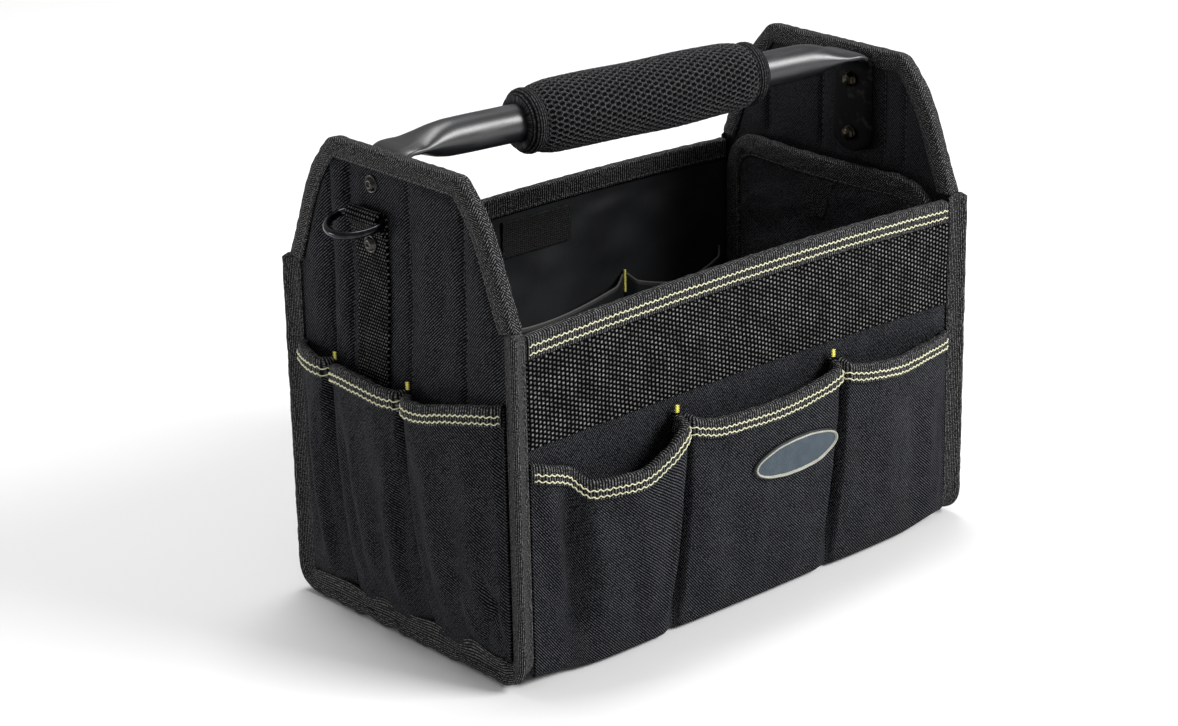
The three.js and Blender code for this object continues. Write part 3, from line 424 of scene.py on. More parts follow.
    def mesh(self, name: str) -> bpy.types.Mesh:
        """Put the form into a smooth Blender mesh in metres, with its places on the cloth as UVs."""
        used = np.unique(self.faces[self.faces >= 0])
        number = np.full(len(self.points), -1)
        number[used] = np.arange(len(used))
        kept = self.faces >= 0
        corners = number[self.faces[kept]].astype(np.int32)
        totals = kept.sum(axis=1).astype(np.int32)
        starts = np.concatenate(([0], np.cumsum(totals)[:-1])).astype(np.int32)
        mesh = bpy.data.meshes.new(name)
        mesh.vertices.add(len(used))
        mesh.vertices.foreach_set("co", (self.points[used] * MM).astype(np.float32).ravel())
        mesh.loops.add(len(corners))
        mesh.loops.foreach_set("vertex_index", corners)
        mesh.polygons.add(len(totals))
        mesh.polygons.foreach_set("loop_start", starts)
        mesh.polygons.foreach_set("loop_total", totals)
        mesh.polygons.foreach_set("material_index", self.finish.astype(np.int32))
        mesh.polygons.foreach_set("use_smooth", np.ones(len(totals), bool))
        places = mesh.uv_layers.new(name="weave")
        places.data.foreach_set("uv", self.weave[kept].astype(np.float32).ravel())
        mesh.update(calc_edges=True)
        mesh.validate()
        return mesh


def sheet(
    mid: Array, out: Array, thickness: float, lift: Array, weave: Array, swell: Array | float = 0.0,
) -> Form:
    """Thicken a grid of points into a sheet with round edges.

    Each skin stands half the thickness times the lift away from the grid along the normals, and the
    outer one also by the swell times the lift.
    """
    half = (thickness / 2 * lift)[..., None]
    extra = (np.asarray(swell) * lift)[..., None]
    return Form.shell(mid + out * (half + extra), mid - out * half, weave)


def thread(line: Array, out: Array, radius: float, sides: int = 5, finish: int = 0) -> Form:
    """Run a round thread along a line: each ring is a circle across the line, thinner at both ends.

    Args:
        line: Points along the thread's middle.
        out: The direction away from the cloth at each of them.
        radius: Radius of the thread, mm.
        sides: Points round each ring.
        finish: Number of the finish.

    Returns:
        The closed thread.
    """
    tangent = unit(np.gradient(line, axis=0))
    side = unit(np.cross(tangent, out))
    up = unit(np.cross(side, tangent))
    end = np.ones(len(line))
    end[[0, -1]] = 0.35
    return Form.sweep(line[:, None] + radius * end[:, None, None] * circles(side, up, sides), finish=finish)


def stitches(starts: Array, ends: Array, out: Array, radius: float, finish: int = 0) -> Form:
    """Make many short stitches at once: each is a thread that rises from the cloth and sinks again.

    A stitch has seven rings of six points. Its middle stands by 0.7 radius times a half sine wave along
    it, and its radius follows the square root of that wave.

    Args:
        starts: Where each stitch leaves the cloth.
        ends: Where each goes back.
        out: The direction away from the cloth at each.
        radius: Radius of the thread, mm.
        finish: Number of the finish.

    Returns:
        All stitches as one form.
    """
    count = len(starts)
    t = np.linspace(0.0, 1.0, 7)
    wave = np.sin(math.pi * np.clip(t, 0.03, 0.97))
    tangent = unit(ends - starts)
    side = unit(np.cross(tangent, out))
    up = np.cross(side, tangent)
    centre = mix(starts[:, None], ends[:, None], t[:, None]) + (0.7 * radius * wave)[:, None] * up[:, None]
    points = centre[:, :, None] + (radius * np.sqrt(wave))[:, None, None] * circles(side, up, 6)[:, None]
    one = Form.sweep(points[0])
    tips = centre[:, [0, -1]]
    every = np.concatenate((points.reshape(count, -1, 3), tips), axis=1)
    size = every.shape[1]
    shift = (np.arange(count) * size)[:, None, None]
    faces = np.where(one.faces[None] < 0, -1, one.faces[None] + shift).reshape(-1, 4)
    weave = np.tile(one.weave, (count, 1, 1))
    return Form(every.reshape(-1, 3), faces, weave, np.full(len(faces), finish))


def dashes(line: Array, out: Array, length: float, pause: float, radius: float, finish: int = 0) -> Form:
    """Sew a line of straight stitches along a polyline, each length long with a pause after it."""
    run = length_along(line)
    starts = np.arange(pause, run[-1] - length, length + pause)
    outs = unit(read_off(out, run, starts + length / 2))
    return stitches(read_off(line, run, starts), read_off(line, run, starts + length), outs, radius, finish)


def tack(centre: Array, along: Array, across: Array, out: Array, length: float, width: float) -> Form:
    """Sew a bar tack: a thread that runs to and fro across a short line, a triangle wave along it."""
    turns = int(length / 0.9)
    t = np.linspace(0.0, 1.0, turns * 4 + 1)
    wave = 2 / math.pi * np.arcsin(np.sin(TURN * turns * t))
    line = centre + np.outer(length * (t - 0.5), along) + np.outer(width / 2 * wave, across)
    line += np.outer(0.22 + 0.1 * np.cos(2 * TURN * turns * t), out)
    return thread(line, np.broadcast_to(out, line.shape), 0.34)


# The tote's sizes and skins


@dataclass(frozen=True)
class Sizes:
    """The tote's driving sizes in millimetres, the same as in the CAD model."""

    length: float = 320.0
    width: float = 176.0
    rim_height: float = 187.0
    rim_crown: float = 4.0
    peak_height: float = 262.0
    peak_width: float = 102.0
    base_radius: float = 11.0
    base_flat: float = 0.7
    wall: float = 3.0
    end_wall: float = 4.0
    wall_bow: float = 3.0
    end_bow: float = 4.0
    crown: float = 0.8
    gap: float = 0.3
    tape: float = 1.1
    tape_fold: float = 11.0
    pocket_fold: float = 9.0
    seam_reach: float = 5.5
    seam_wing: float = 6.0
    seam_stub: float = 5.0
    cloth: float = 1.5
    fittings_offset: float = 18.0
    foot_thickness: float = 4.5

    @property
    def half_length(self) -> float:
        """Half the length over the end panels."""
        return self.length / 2

    @property
    def half_width(self) -> float:
        """Half the width over the side walls."""
        return self.width / 2

    @property
    def seam_top(self) -> float:
        """Upper end of a corner seam."""
        return self.rim_height + self.seam_stub

    @property
    def trim_length(self) -> float:
        """Half the length between the tapes of the corner seams."""
        return self.half_length - self.seam_wing - self.gap

    @property
    def trim_width(self) -> float:
        """Half the width between the tapes of the corner seams."""
        return self.half_width - self.seam_wing - self.gap

    @property
    def panel_foot(self) -> float:
        """Height above which an end panel bows and swells."""
        return self.seam_reach + self.seam_wing + self.gap

    @property
    def end_inner(self) -> float:
        """Inner face of an end panel, from the middle."""
        return self.half_length - self.end_wall

    @property
    def foot_plane(self) -> float:
        """Middle of the handle's flat foot, from the middle of the tote."""
        return self.end_inner - self.tape - 2 * self.gap - self.foot_thickness / 2

    def base_level(self, x: Array) -> Array:
        """Return the height of the base's underside: 0, rising smoothly over its two ends."""
        rising = 1 - self.base_flat - self.end_wall / self.half_length
        return self.seam_reach * smooth((np.abs(x) / self.half_length - self.base_flat) / rising)

    def rim_level(self, x: Array) -> Array:
        """Return the height of a side wall's rim, which is a parabola with its top at mid length."""
        return self.rim_height + self.rim_crown * (1 - (x / self.half_length) ** 2)

    def wall_bow_at(self, x: Array, z: Array) -> Array:
        """Return how far a side wall bows out: half a sine wave up it times a parabola along it."""
        foot = self.base_radius + self.seam_reach
        level = np.clip((z - foot) / (self.rim_height - foot), 0.0, 1.0)
        along = np.maximum(0.0, 1 - (x / self.trim_length) ** 2)
        return self.wall_bow * np.sin(math.pi * level) * along

    def end_bow_at(self, y: Array, z: Array) -> Array:
        """Return how far an end panel bows out: half a sine wave up to the rim times a parabola."""
        level = np.clip((z - self.panel_foot) / (self.rim_height - self.panel_foot), 0.0, 1.0)
        return self.end_bow * np.sin(math.pi * level) * np.maximum(0.0, 1 - (y / self.trim_width) ** 2)

    def front(self, x: Array, z: Array, out: Array | float) -> Array:
        """Return points that stand out from the front wall's skin."""
        return stacked(x, -self.half_width - self.wall_bow_at(x, z) - out, z)

    def back_inside(self, x: Array, z: Array, inward: Array | float) -> Array:
        """Return points that stand inward from the back wall's lining."""
        return stacked(x, self.half_width - self.wall + self.wall_bow_at(x, z) - inward, z)

    def left_end(self, y: Array, z: Array, out: Array | float) -> Array:
        """Return points that stand out from the left end's swollen skin."""
        return stacked(-self.half_length - self.end_bow_at(y, z) - self.crown - out, y, z)

    def seam_tape_edge(self, y: Array) -> Array:
        """Return the upper edge of the base seam's tape on an end, which rises round its two corners."""
        radius = self.base_radius - self.seam_wing - self.gap
        past = np.maximum(0.0, np.abs(y) - self.half_width + self.base_radius)
        return self.seam_reach + self.base_radius - np.sqrt(np.maximum(0.0, radius**2 - past**2))


TOTE = Sizes()
TAPER = ((0.0, 0.0), (0.25, 0.19), (0.5, 0.37), (0.75, 0.6), (0.9, 0.82), (1.0, 1.0))


def end_half_width(z: Array) -> Array:
    """Return half the width of an end at a height: round at the base, even, then narrowing to the peak."""
    s = TOTE
    low = np.clip(s.base_radius + s.seam_reach - z, 0.0, s.base_radius)
    round_part = s.half_width - s.base_radius + np.sqrt(s.base_radius**2 - low**2)
    up = (z - s.seam_top) / (s.peak_height - s.seam_top)
    inward = through(TAPER, np.clip(up, 0.0, 1.0))
    return np.where(z < s.seam_top, round_part, mix(s.half_width, s.peak_width / 2, inward))


# Tapes


@dataclass
class Tape:
    """A tape folded over the edge of a sheet.

    A place on it is given by the distance along the edge, the share of the way from the edge to the root,
    which is the tape's lower edge on the outer skin, and the height above that skin.
    """

    edge: Array
    root: Array
    out: Array
    root_out: Array
    cover: float
    outside: float = TOTE.gap
    inside: float = TOTE.gap
    thickness: float = TOTE.tape
    pucker: float = 0.25
    bulge: float = 0.3
    seed: int = 1

    @property
    def length(self) -> float:
        """Length of the edge."""
        return float(length_along(self.edge)[-1])

    @property
    def fold(self) -> float:
        """How far the tape reaches from the edge."""
        return float(np.linalg.norm(self.root - self.edge, axis=1).mean())

    def at(self, along: Array, down: Array | float, up: Array | float) -> tuple[Array, Array]:
        """Find places on the tape's outer side.

        Args:
            along: Distances along the edge.
            down: Shares of the way from the edge to the root.
            up: Heights above the tape's outer face.

        Returns:
            The points, and the outward directions there.
        """
        run = length_along(self.edge)
        pick = lambda values: read_off(values, run, along)
        down = np.broadcast_to(down, np.shape(along))[..., None]
        outward = unit(mix(pick(self.out), pick(self.root_out), down))
        swell = self.bulge * np.sin(math.pi * np.clip(down[..., 0], 0, 1)) ** 0.7
        height = np.broadcast_to(up, np.shape(along)) + self.outside + self.thickness + swell
        return mix(pick(self.edge), pick(self.root), down) + outward * height[..., None], outward

    def form(self) -> Form:
        """Carry the folded section along the edge.

        The section's middle line runs up the outer side, over the edge in a squarish half ellipse and
        down the inner side. The tape is puffed up a little by soft waves between its stitches.
        """
        flange = Span(0.0, 1.0, 9, 0.5 * self.thickness / self.fold)
        dense = flange.rows + 5
        share = np.concatenate((flange.places[:dense], [0.62, 0.76, 0.88, 1.0]))
        lift = np.concatenate((flange.lift[:dense], np.ones(4)))
        depth = self.cover + self.outside + self.inside + self.thickness
        top = self.inside + self.thickness / 2
        angle = np.linspace(0, math.pi, 9)[1:-1]
        bend = np.sign(np.cos(angle)) * np.abs(np.cos(angle)) ** 0.6
        rise = np.sin(angle) ** 0.6
        outer = self.outside + self.thickness / 2
        flat = np.zeros(len(share))
        down = np.concatenate((1 - share, 0 * angle, share))
        up = np.concatenate((outer + flat, outer - depth / 2 * (1 - bend), outer - depth + flat))
        over = np.concatenate((flat, top * rise, flat))
        lifts = np.concatenate((lift, 1 + 0 * angle, lift[::-1]))
        lean = np.concatenate((1 + flat, np.cos(angle), flat - 1))
        crest = np.concatenate((flat, np.sin(angle), flat))
        run = length_along(self.edge)
        cap = Span(0.0, run[-1], 3, 0.5 * self.thickness)
        ends = np.interp(run, cap.places, cap.lift)
        upward = unit(self.edge - self.root)
        outward = unit(mix(self.out[:, None], self.root_out[:, None], down[None, :, None]))
        mid = mix(self.edge[:, None], self.root[:, None], down[None, :, None])
        mid = mid + outward * up[None, :, None] + upward[:, None] * over[None, :, None]
        normal = outward * lean[None, :, None] + upward[:, None] * crest[None, :, None]
        across = running(np.hypot(np.hypot(np.diff(down) * self.fold, np.diff(over)), np.diff(up)))
        weave = lattice(run, across)
        puff = self.pucker * ripple(run[:, None], across[None], self.seed, 9.0, 0.6)
        puff = puff + 0.5 * self.pucker * ripple(run[:, None], across[None], self.seed + 7, 3.1)
        puff = puff + self.bulge * np.sin(math.pi * np.clip(down, 0, 1)) ** 0.7
        return sheet(mid, normal, self.thickness, np.minimum(ends[:, None], lifts[None]), weave, puff)

    def zigzag(self, down: float, seed: int, start: float = 1.5, end: float = 1.5) -> Form:
        """Sew a zigzag line along the tape: a triangle wave of 3.4 mm that dips into it at each turn."""
        period, swing = 3.4, 0.62
        count = int((self.length - start - end) / period * 8)
        along = np.linspace(start, self.length - end, count)
        rng = np.random.default_rng(seed)
        turns = (along - start) / period
        wave = 2 / math.pi * np.arcsin(0.97 * np.sin(TURN * turns))
        shifts = 0.14 * rng.standard_normal(int(turns[-1]) + 2)
        stray = np.interp(turns, np.arange(len(shifts)), shifts)
        height = 0.16 + 0.2 * np.abs(np.cos(TURN * turns))
        points, outward = self.at(along, down + (swing * wave + stray) / self.fold, height)
        return thread(points, outward, 0.36)

    def dashed(self, down: float, length: float = 2.6, pause: float = 0.9, radius: float = 0.3) -> Form:
        """Sew a line of straight stitches along the tape."""
        along = np.linspace(1.0, self.length - 1.0, max(3, int(self.length / 2)))
        points, outward = self.at(along, down, 0.05)
        return dashes(points, outward, length, pause, radius)


# Shader maths


class Socket:
    """An output socket of a shader node, for sums written as Python expressions."""

    def __init__(self, paint: "Paint", link: bpy.types.NodeSocket) -> None:
        """Keep the socket and the material that it is in."""
        self.paint = paint
        self.link = link

    def maths(self, kind: str, *values: "Socket | float") -> "Socket":
        """Add one Math node on this socket and some values."""
        return self.paint.node("ShaderNodeMath", {"operation": kind}, dict(enumerate((self, *values))))

    def __add__(self, other: "Socket | float") -> "Socket":
        """Return the sum."""
        return self.maths("ADD", other)

    def __mul__(self, other: "Socket | float") -> "Socket":
        """Return the product."""
        return self.maths("MULTIPLY", other)

    def __sub__(self, other: "Socket | float") -> "Socket":
        """Return the difference."""
        return self.maths("SUBTRACT", other)

    def __rsub__(self, other: float) -> "Socket":
        """Return a number less this."""
        return self * -1.0 + other

    def __truediv__(self, other: "Socket | float") -> "Socket":
        """Return the quotient."""
        return self.maths("DIVIDE", other)

    def wave(self, length: float = 1.0, shift: float = 0.0) -> "Socket":
        """Return a sine wave of 0 to 1 of a given length."""
        return (self * (TURN / length) + shift).maths("SINE") * 0.5 + 0.5

    def part(self) -> "Socket":
        """Return what is left of this past the last whole number."""
        return self.maths("FRACT")

    def whole(self) -> "Socket":
        """Return the whole number below this."""
        return self.maths("FLOOR")

    def size(self) -> "Socket":
        """Return the absolute value."""
        return self.maths("ABSOLUTE")

    def between(self, low: float, high: float, start: float = 0.0, end: float = 1.0) -> "Socket":
        """Return start below low, end above high and a smooth step between."""
        settings = {"interpolation_type": "SMOOTHSTEP"}
        return self.paint.node("ShaderNodeMapRange", settings, {0: self, 1: low, 2: high, 3: start, 4: end})


class Paint:
    """A material under way, with its Principled shader."""

    def __init__(self, name: str) -> None:
        """Start an empty material."""
        self.material = bpy.data.materials.new(name)
        self.material.use_nodes = True
        self.tree = self.material.node_tree
        self.tree.nodes.clear()
        self.shader = self.tree.nodes.new("ShaderNodeBsdfPrincipled")
        output = self.tree.nodes.new("ShaderNodeOutputMaterial")
        self.tree.links.new(self.shader.outputs[0], output.inputs[0])

    def fill(self, socket: bpy.types.NodeSocket, value: "Socket | float | Sequence[float]") -> None:
        """Link a socket to another, or give it a number or a colour."""
        if isinstance(value, Socket):
            self.tree.links.new(value.link, socket)
        else:
            socket.default_value = value

    def node(
        self, kind: str, settings: Mapping[str, object] | None = None,
        inputs: Mapping[int, object] | None = None, output: int = 0,
    ) -> Socket:
        """Add a node.

        Args:
            kind: Its type.
            settings: Its own settings, which are set first.
            inputs: Values or links of its sockets, by number.
            output: Number of the output socket wanted.

        Returns:
            That socket.
        """
        node = self.tree.nodes.new(kind)
        for name, value in (settings or {}).items():
            setattr(node, name, value)
        for number, value in (inputs or {}).items():
            self.fill(node.inputs[number], value)
        return Socket(self, node.outputs[output])

    def cloth(self) -> tuple[Socket, Socket, Socket]:
        """Return the place on the cloth in mm, as a vector and as its two numbers."""
        place = self.node("ShaderNodeUVMap", {"uv_map": "weave"})
        split = [self.node("ShaderNodeSeparateXYZ", None, {0: place}, output) for output in (0, 1)]
        return place, split[0], split[1]

    def place(self) -> Socket:
        """Return the place in the model's frame, in metres."""
        return self.node("ShaderNodeTexCoord", None, None, 3)

    def noise(
        self, place: Socket, scale: float, detail: float = 2.0, stretch: Sequence[float] | None = None,
    ) -> Socket:
        """Return smooth noise of about 0.3 to 0.7 at a place, stretched along the axes below 1."""
        if stretch:
            settings = {"operation": "MULTIPLY"}
            place = self.node("ShaderNodeVectorMath", settings, {0: place, 1: tuple(map(float, stretch))})
        return self.node("ShaderNodeTexNoise", None, {0: place, 2: scale, 3: detail})

    def blend(self, share: Socket | float, a: Socket | Colour, b: Socket | Colour) -> Socket:
        """Mix two colours."""
        solid = lambda colour: colour if isinstance(colour, Socket) else (*colour, 1.0)
        return self.node("ShaderNodeMix", {"data_type": "RGBA"}, {0: share, 6: solid(a), 7: solid(b)}, 2)

    def finish(
        self, colour: Socket | Colour, roughness: Socket | float, height: Socket | None = None,
        depth: float = 0.1, metallic: float = 0.0, **constants: float,
    ) -> bpy.types.Material:
        """Fill the shader.

        Args:
            colour: Base colour.
            roughness: Roughness.
            height: Height of the surface's relief, 0 to 1.
            depth: The relief's depth at height 1, mm.
            metallic: Metallic.
            constants: Other sockets by name, with _ for a space.

        Returns:
            The finished material.
        """
        pins = self.shader.inputs
        self.fill(pins["Base Color"], colour if isinstance(colour, Socket) else (*colour, 1.0))
        self.fill(pins["Roughness"], roughness)
        self.fill(pins["Metallic"], metallic)
        for name, value in constants.items():
            pins[name.replace("_", " ")].default_value = value
        if height is not None:
            bump = self.tree.nodes.new("ShaderNodeBump")
            bump.inputs["Distance"].default_value = depth * MM
            self.fill(bump.inputs["Height"], height)
            self.fill(pins["Normal"], Socket(self, bump.outputs[0]))
        return self.material


# Finishes


@dataclass(frozen=True)
class Twill:
    """Coated black twill: fine diagonal ribs of 1.2 mm crossed by weaker lines, and faint cloudiness."""

    name: str = "twill"
    dark: Colour = (0.0006, 0.0007, 0.001)
    light: Colour = (0.083, 0.086, 0.096)
    pitch: float = 1.711
    cross: float = 2.25
    relief: float = 0.16
    roughness: float = 0.62

    def make(self) -> bpy.types.Material:
        """Build the material."""
        paint = Paint(self.name)
        place, u, v = paint.cloth()
        warp = paint.noise(place, 0.35) * 0.5
        ribs = (u + v + warp).wave(self.pitch)
        yarn = (u - v).wave(self.cross)
        fuzz = paint.noise(place, 1.25)
        height = ribs * 0.62 + yarn * 0.2 + fuzz * 0.35
        cloud = paint.noise(place, 0.055, 3.0).between(0.3, 0.7, 0.8, 1.15)
        specks = fuzz.between(0.38, 0.66, 0.22, 1.6) * yarn.between(0.0, 0.6, 0.55, 1.0)
        shade = (ribs.between(0.4, 0.97) * specks * cloud).maths("MINIMUM", 1.0)
        colour = paint.blend(shade, self.dark, self.light)
        rough = height * -0.12 + (self.roughness + 0.08)
        return paint.finish(colour, rough, height, self.relief, Specular_IOR_Level=0.03)


@dataclass(frozen=True)
class Lining:
    """Plain woven lining: a fine grid of threads, smooth and charcoal."""

    name: str = "lining"
    dark: Colour = (0.004, 0.0043, 0.0048)
    light: Colour = (0.022, 0.024, 0.026)

    def make(self) -> bpy.types.Material:
        """Build the material."""
        paint = Paint(self.name)
        place, u, v = paint.cloth()
        height = u.wave(0.9) * 0.5 + v.wave(0.9) * 0.5
        cloud = paint.noise(place, 0.03, 3.0).between(0.3, 0.7)
        shade = height * 0.45 + cloud * 0.4
        colour = paint.blend(shade, self.dark, self.light)
        return paint.finish(colour, 0.6, height, 0.05, Specular_IOR_Level=0.25)


@dataclass(frozen=True)
class Webbing:
    """Coarse webbing: columns of short bright picks, each column shifted by not quite half a pick."""

    name: str = "coarse_webbing"
    dark: Colour = (0.0008, 0.0008, 0.0008)
    light: Colour = (0.31, 0.31, 0.305)
    column: float = 2.59
    pick: float = 2.5
    shift: float = 0.45
    relief: float = 0.5

    def make(self) -> bpy.types.Material:
        """Build the material."""
        paint = Paint(self.name)
        place, u, v = paint.cloth()
        wobble = paint.noise(place, 0.4) - 0.5
        across = (u + wobble * 0.5) / self.column
        along = (v + wobble * 0.7) / self.pick + across.whole() * self.shift
        bow = (across.part() - 0.5).size()
        ridge = (1.0 - bow * bow * 4.0).maths("MAXIMUM", 0.0)
        dash = (along.part() - 0.5).size().between(0.1, 0.34, 1.0, 0.0)
        height = ridge.between(0.55, 1.0) * dash
        fuzz = paint.noise(place, 1.1)
        sway = paint.noise(place, 0.09).between(0.35, 0.65, 0.55, 1.0)
        shade = height * fuzz.between(0.32, 0.62, 0.25, 1.0) * sway
        colour = paint.blend(shade, self.dark, self.light)
        rough = height * -0.2 + 0.72
        return paint.finish(colour, rough, height + fuzz * 0.2, self.relief, Specular_IOR_Level=0.02)


class Ribs(Enum):
    """Which way a tape's ribs run."""

    ALONG = "along"
    ACROSS = "across"
    HERRINGBONE = "herringbone"


@dataclass(frozen=True)
class RibbedTape:
    """Tape with fine ribs and a scatter of bright fibres. Herringbone ribs slant and turn back."""

    name: str
    ribs: Ribs
    rib: float = 1.6
    turn: float = 5.6
    dark: Colour = (0.0012, 0.0012, 0.0013)
    light: Colour = (0.2, 0.2, 0.2)
    relief: float = 0.25

    def make(self) -> bpy.types.Material:
        """Build the material."""
        paint = Paint(self.name)
        place, u, v = paint.cloth()
        fuzz = paint.noise(place, 1.15)
        if self.ribs is Ribs.HERRINGBONE:
            zag = ((v / self.turn).part() - 0.5).size() * self.turn
            ribs = (u + zag * 1.2 + paint.noise(place, 0.5) * 0.35).wave(self.rib)
            height = ribs * 0.75 + fuzz * 0.35
        else:
            over, along = (u, v) if self.ribs is Ribs.ACROSS else (v, u)
            ribs = (over + paint.noise(place, 0.45) * 0.3).wave(self.rib)
            height = ribs * 0.7 + along.wave(0.8) * 0.12 + fuzz * 0.35
        shade = ribs.between(0.35, 0.95) * fuzz.between(0.42, 0.64, 0.12, 1.0)
        colour = paint.blend(shade, self.dark, self.light)
        return paint.finish(colour, 0.66, height, self.relief, Specular_IOR_Level=0.08)


@dataclass(frozen=True)
class Thread:
    """Sewing thread: twisted strands along its length."""

    name: str
    colour: Colour
    dim: float = 0.5

    def make(self) -> bpy.types.Material:
        """Build the material."""
        paint = Paint(self.name)
        place, u, v = paint.cloth()
        twist = (u + v * 1.4).wave(0.75)
        spots = paint.noise(place, 0.9).between(0.3, 0.7, 0.8, 1.1)
        dark = tuple(value * self.dim for value in self.colour)
        colour = paint.blend((twist * spots).maths("MINIMUM", 1.0), dark, self.colour)
        return paint.finish(colour, 0.55, twist, 0.06, Specular_IOR_Level=0.35)


@dataclass(frozen=True)
class PaintedTube:
    """Satin black paint on steel tube, with faint orange peel and handling marks."""

    name: str = "painted_tube"
    colour: Colour = (0.008, 0.0085, 0.01)
    roughness: float = 0.34
    shine: float = 0.8

    def make(self) -> bpy.types.Material:
        """Build the material."""
        paint = Paint(self.name)
        place = paint.place()
        peel = paint.noise(place, 900.0)
        marks = paint.noise(place, 160.0, 4.0, (0.15, 1, 1))
        worn = marks.between(0.52, 0.72)
        colour = paint.blend(worn * 0.35, self.colour, (0.05, 0.052, 0.056))
        rough = peel * 0.05 + worn * 0.1 + self.roughness
        return paint.finish(colour, rough, peel, 0.02, Specular_IOR_Level=self.shine)


@dataclass(frozen=True)
class Plating:
    """Dark plated steel with fine scratches."""

    name: str
    colour: Colour
    roughness: float

    def make(self) -> bpy.types.Material:
        """Build the material."""
        paint = Paint(self.name)
        place = paint.place()
        scratch = paint.noise(place, 700.0, 5.0, (1, 0.2, 1))
        stain = paint.noise(place, 220.0, 3.0).between(0.4, 0.65)
        dull = tuple(value * 0.55 for value in self.colour)
        colour = paint.blend(stain, self.colour, dull)
        rough = scratch * 0.12 + stain * 0.08 + self.roughness
        return paint.finish(colour, rough, scratch, 0.01, metallic=1.0)


@dataclass(frozen=True)
class SpacerMesh:
    """Air mesh of the grip: knitted loops between the holes, whose dark colour is painted shade."""

    name: str = "air_mesh"
    dark: Colour = (0.0004, 0.0004, 0.0005)
    light: Colour = (0.2, 0.202, 0.21)

    def make(self) -> bpy.types.Material:
        """Build the material."""
        paint = Paint(self.name)
        place, u, v = paint.cloth()
        loops = (u + v * 0.6).wave(0.9) * 0.5 + (u - v * 0.6).wave(0.9) * 0.5
        fuzz = paint.noise(place, 1.2)
        open_share = paint.node("ShaderNodeAttribute", {"attribute_name": "hole"}, None, 2)
        # Painted shade: the colour in the holes is pulled down to the dark one.
        shade = loops.between(0.25, 0.9) * fuzz.between(0.35, 0.65, 0.25, 1.0) * (1.0 - open_share)
        colour = paint.blend(shade, self.dark, self.light)
        return paint.finish(colour, 0.7, loops + fuzz * 0.4, 0.12, Specular_IOR_Level=0.05)


@dataclass(frozen=True)
class SoftRubber:
    """Moulded rubber with a fine grain."""

    name: str
    colour: Colour
    roughness: float = 0.5

    def make(self) -> bpy.types.Material:
        """Build the material."""
        paint = Paint(self.name)
        place = paint.place()
        grain = paint.noise(place, 2200.0, 3.0)
        dust = paint.noise(place, 180.0, 3.0).between(0.35, 0.7, 0.86, 1.08)
        dark = tuple(value * 0.8 for value in self.colour)
        colour = paint.blend((dust - 0.86) * 4.5, dark, self.colour)
        return paint.finish(colour, grain * 0.15 + self.roughness, grain, 0.03, Specular_IOR_Level=0.4)


@dataclass(frozen=True)
class HookTape:
    """Hook tape: rows of tiny bent hooks, which catch the light as specks."""

    name: str = "hook_tape"

    def make(self) -> bpy.types.Material:
        """Build the material."""
        paint = Paint(self.name)
        place, u, v = paint.cloth()
        hooks = u.wave(1.5) * v.wave(1.3)
        speck = paint.noise(place, 1.6, 3.0).between(0.42, 0.62)
        colour = paint.blend(hooks * speck, (0.002, 0.002, 0.002), (0.06, 0.06, 0.062))
        return paint.finish(colour, 0.6, hooks + speck, 0.5, Specular_IOR_Level=0.4)


@dataclass(frozen=True)
class PaleFloor:
    """Even pale studio floor."""

    name: str = "pale_floor"

    def make(self) -> bpy.types.Material:
        """Build the material."""
        paint = Paint(self.name)
        return paint.finish((0.92, 0.92, 0.92), 0.9, Specular_IOR_Level=0.1)


TWILL = Twill()
# Darker copy of the twill for the ends' inner faces: painted shade inside the tote.
SHADED_TWILL = Twill("shaded_twill", dark=(0.004, 0.0042, 0.0048), light=(0.055, 0.0565, 0.062))
# Lighter copy of the twill for the liners inside the ends: painted light.
LIT_TWILL = Twill("lit_twill", dark=(0.004, 0.0042, 0.0048), light=(0.16, 0.164, 0.178))
LINING = Lining()
WEBBING = Webbing()
STRAP_WEAVE = Webbing("strap_webbing", column=1.8, pick=1.9, shift=0.5, light=(0.2, 0.2, 0.203), relief=0.4)
HERRINGBONE = RibbedTape("herringbone_binding", Ribs.HERRINGBONE, relief=0.3)
RIM_RIBS = RibbedTape("rim_tape_ribs", Ribs.ACROSS)
SEAM_RIBS = RibbedTape("seam_tape_ribs", Ribs.ALONG, rib=1.0)
KNIT = RibbedTape("knit_band", Ribs.ACROSS, rib=1.5, light=(0.08, 0.08, 0.085), relief=0.4)
CREAM = Thread("cream_thread", (1.0, 0.98, 0.66), 0.5)
YELLOW = Thread("yellow_thread", (1.0, 0.93, 0.16), 0.7)
GREY_THREAD = Thread("grey_thread", (0.13, 0.125, 0.115))
DARK_THREAD = Thread("dark_thread", (0.05, 0.05, 0.055))
TUBE_PAINT = PaintedTube()
# Darker, duller copy of the tube paint for the handle's feet: painted shade inside the ends.
SHADED_FOOT_PAINT = PaintedTube("shaded_foot_paint", (0.002, 0.002, 0.0022), 0.6, 0.05)
RING_PLATING = Plating("dark_plating", (0.035, 0.036, 0.04), 0.1)
BOLT_PLATING = Plating("bolt_plating", (0.06, 0.058, 0.055), 0.16)
NUT_PLATING = Plating("nut_plating", (0.05, 0.042, 0.03), 0.3)
AIR_MESH = SpacerMesh()
BADGE_FACE = SoftRubber("badge_face", (0.04, 0.06, 0.08))
BADGE_BORDER = SoftRubber("badge_border", (0.42, 0.42, 0.36))
BADGE_RIM = SoftRubber("badge_rim", (0.012, 0.013, 0.015))
HOOKS = HookTape()


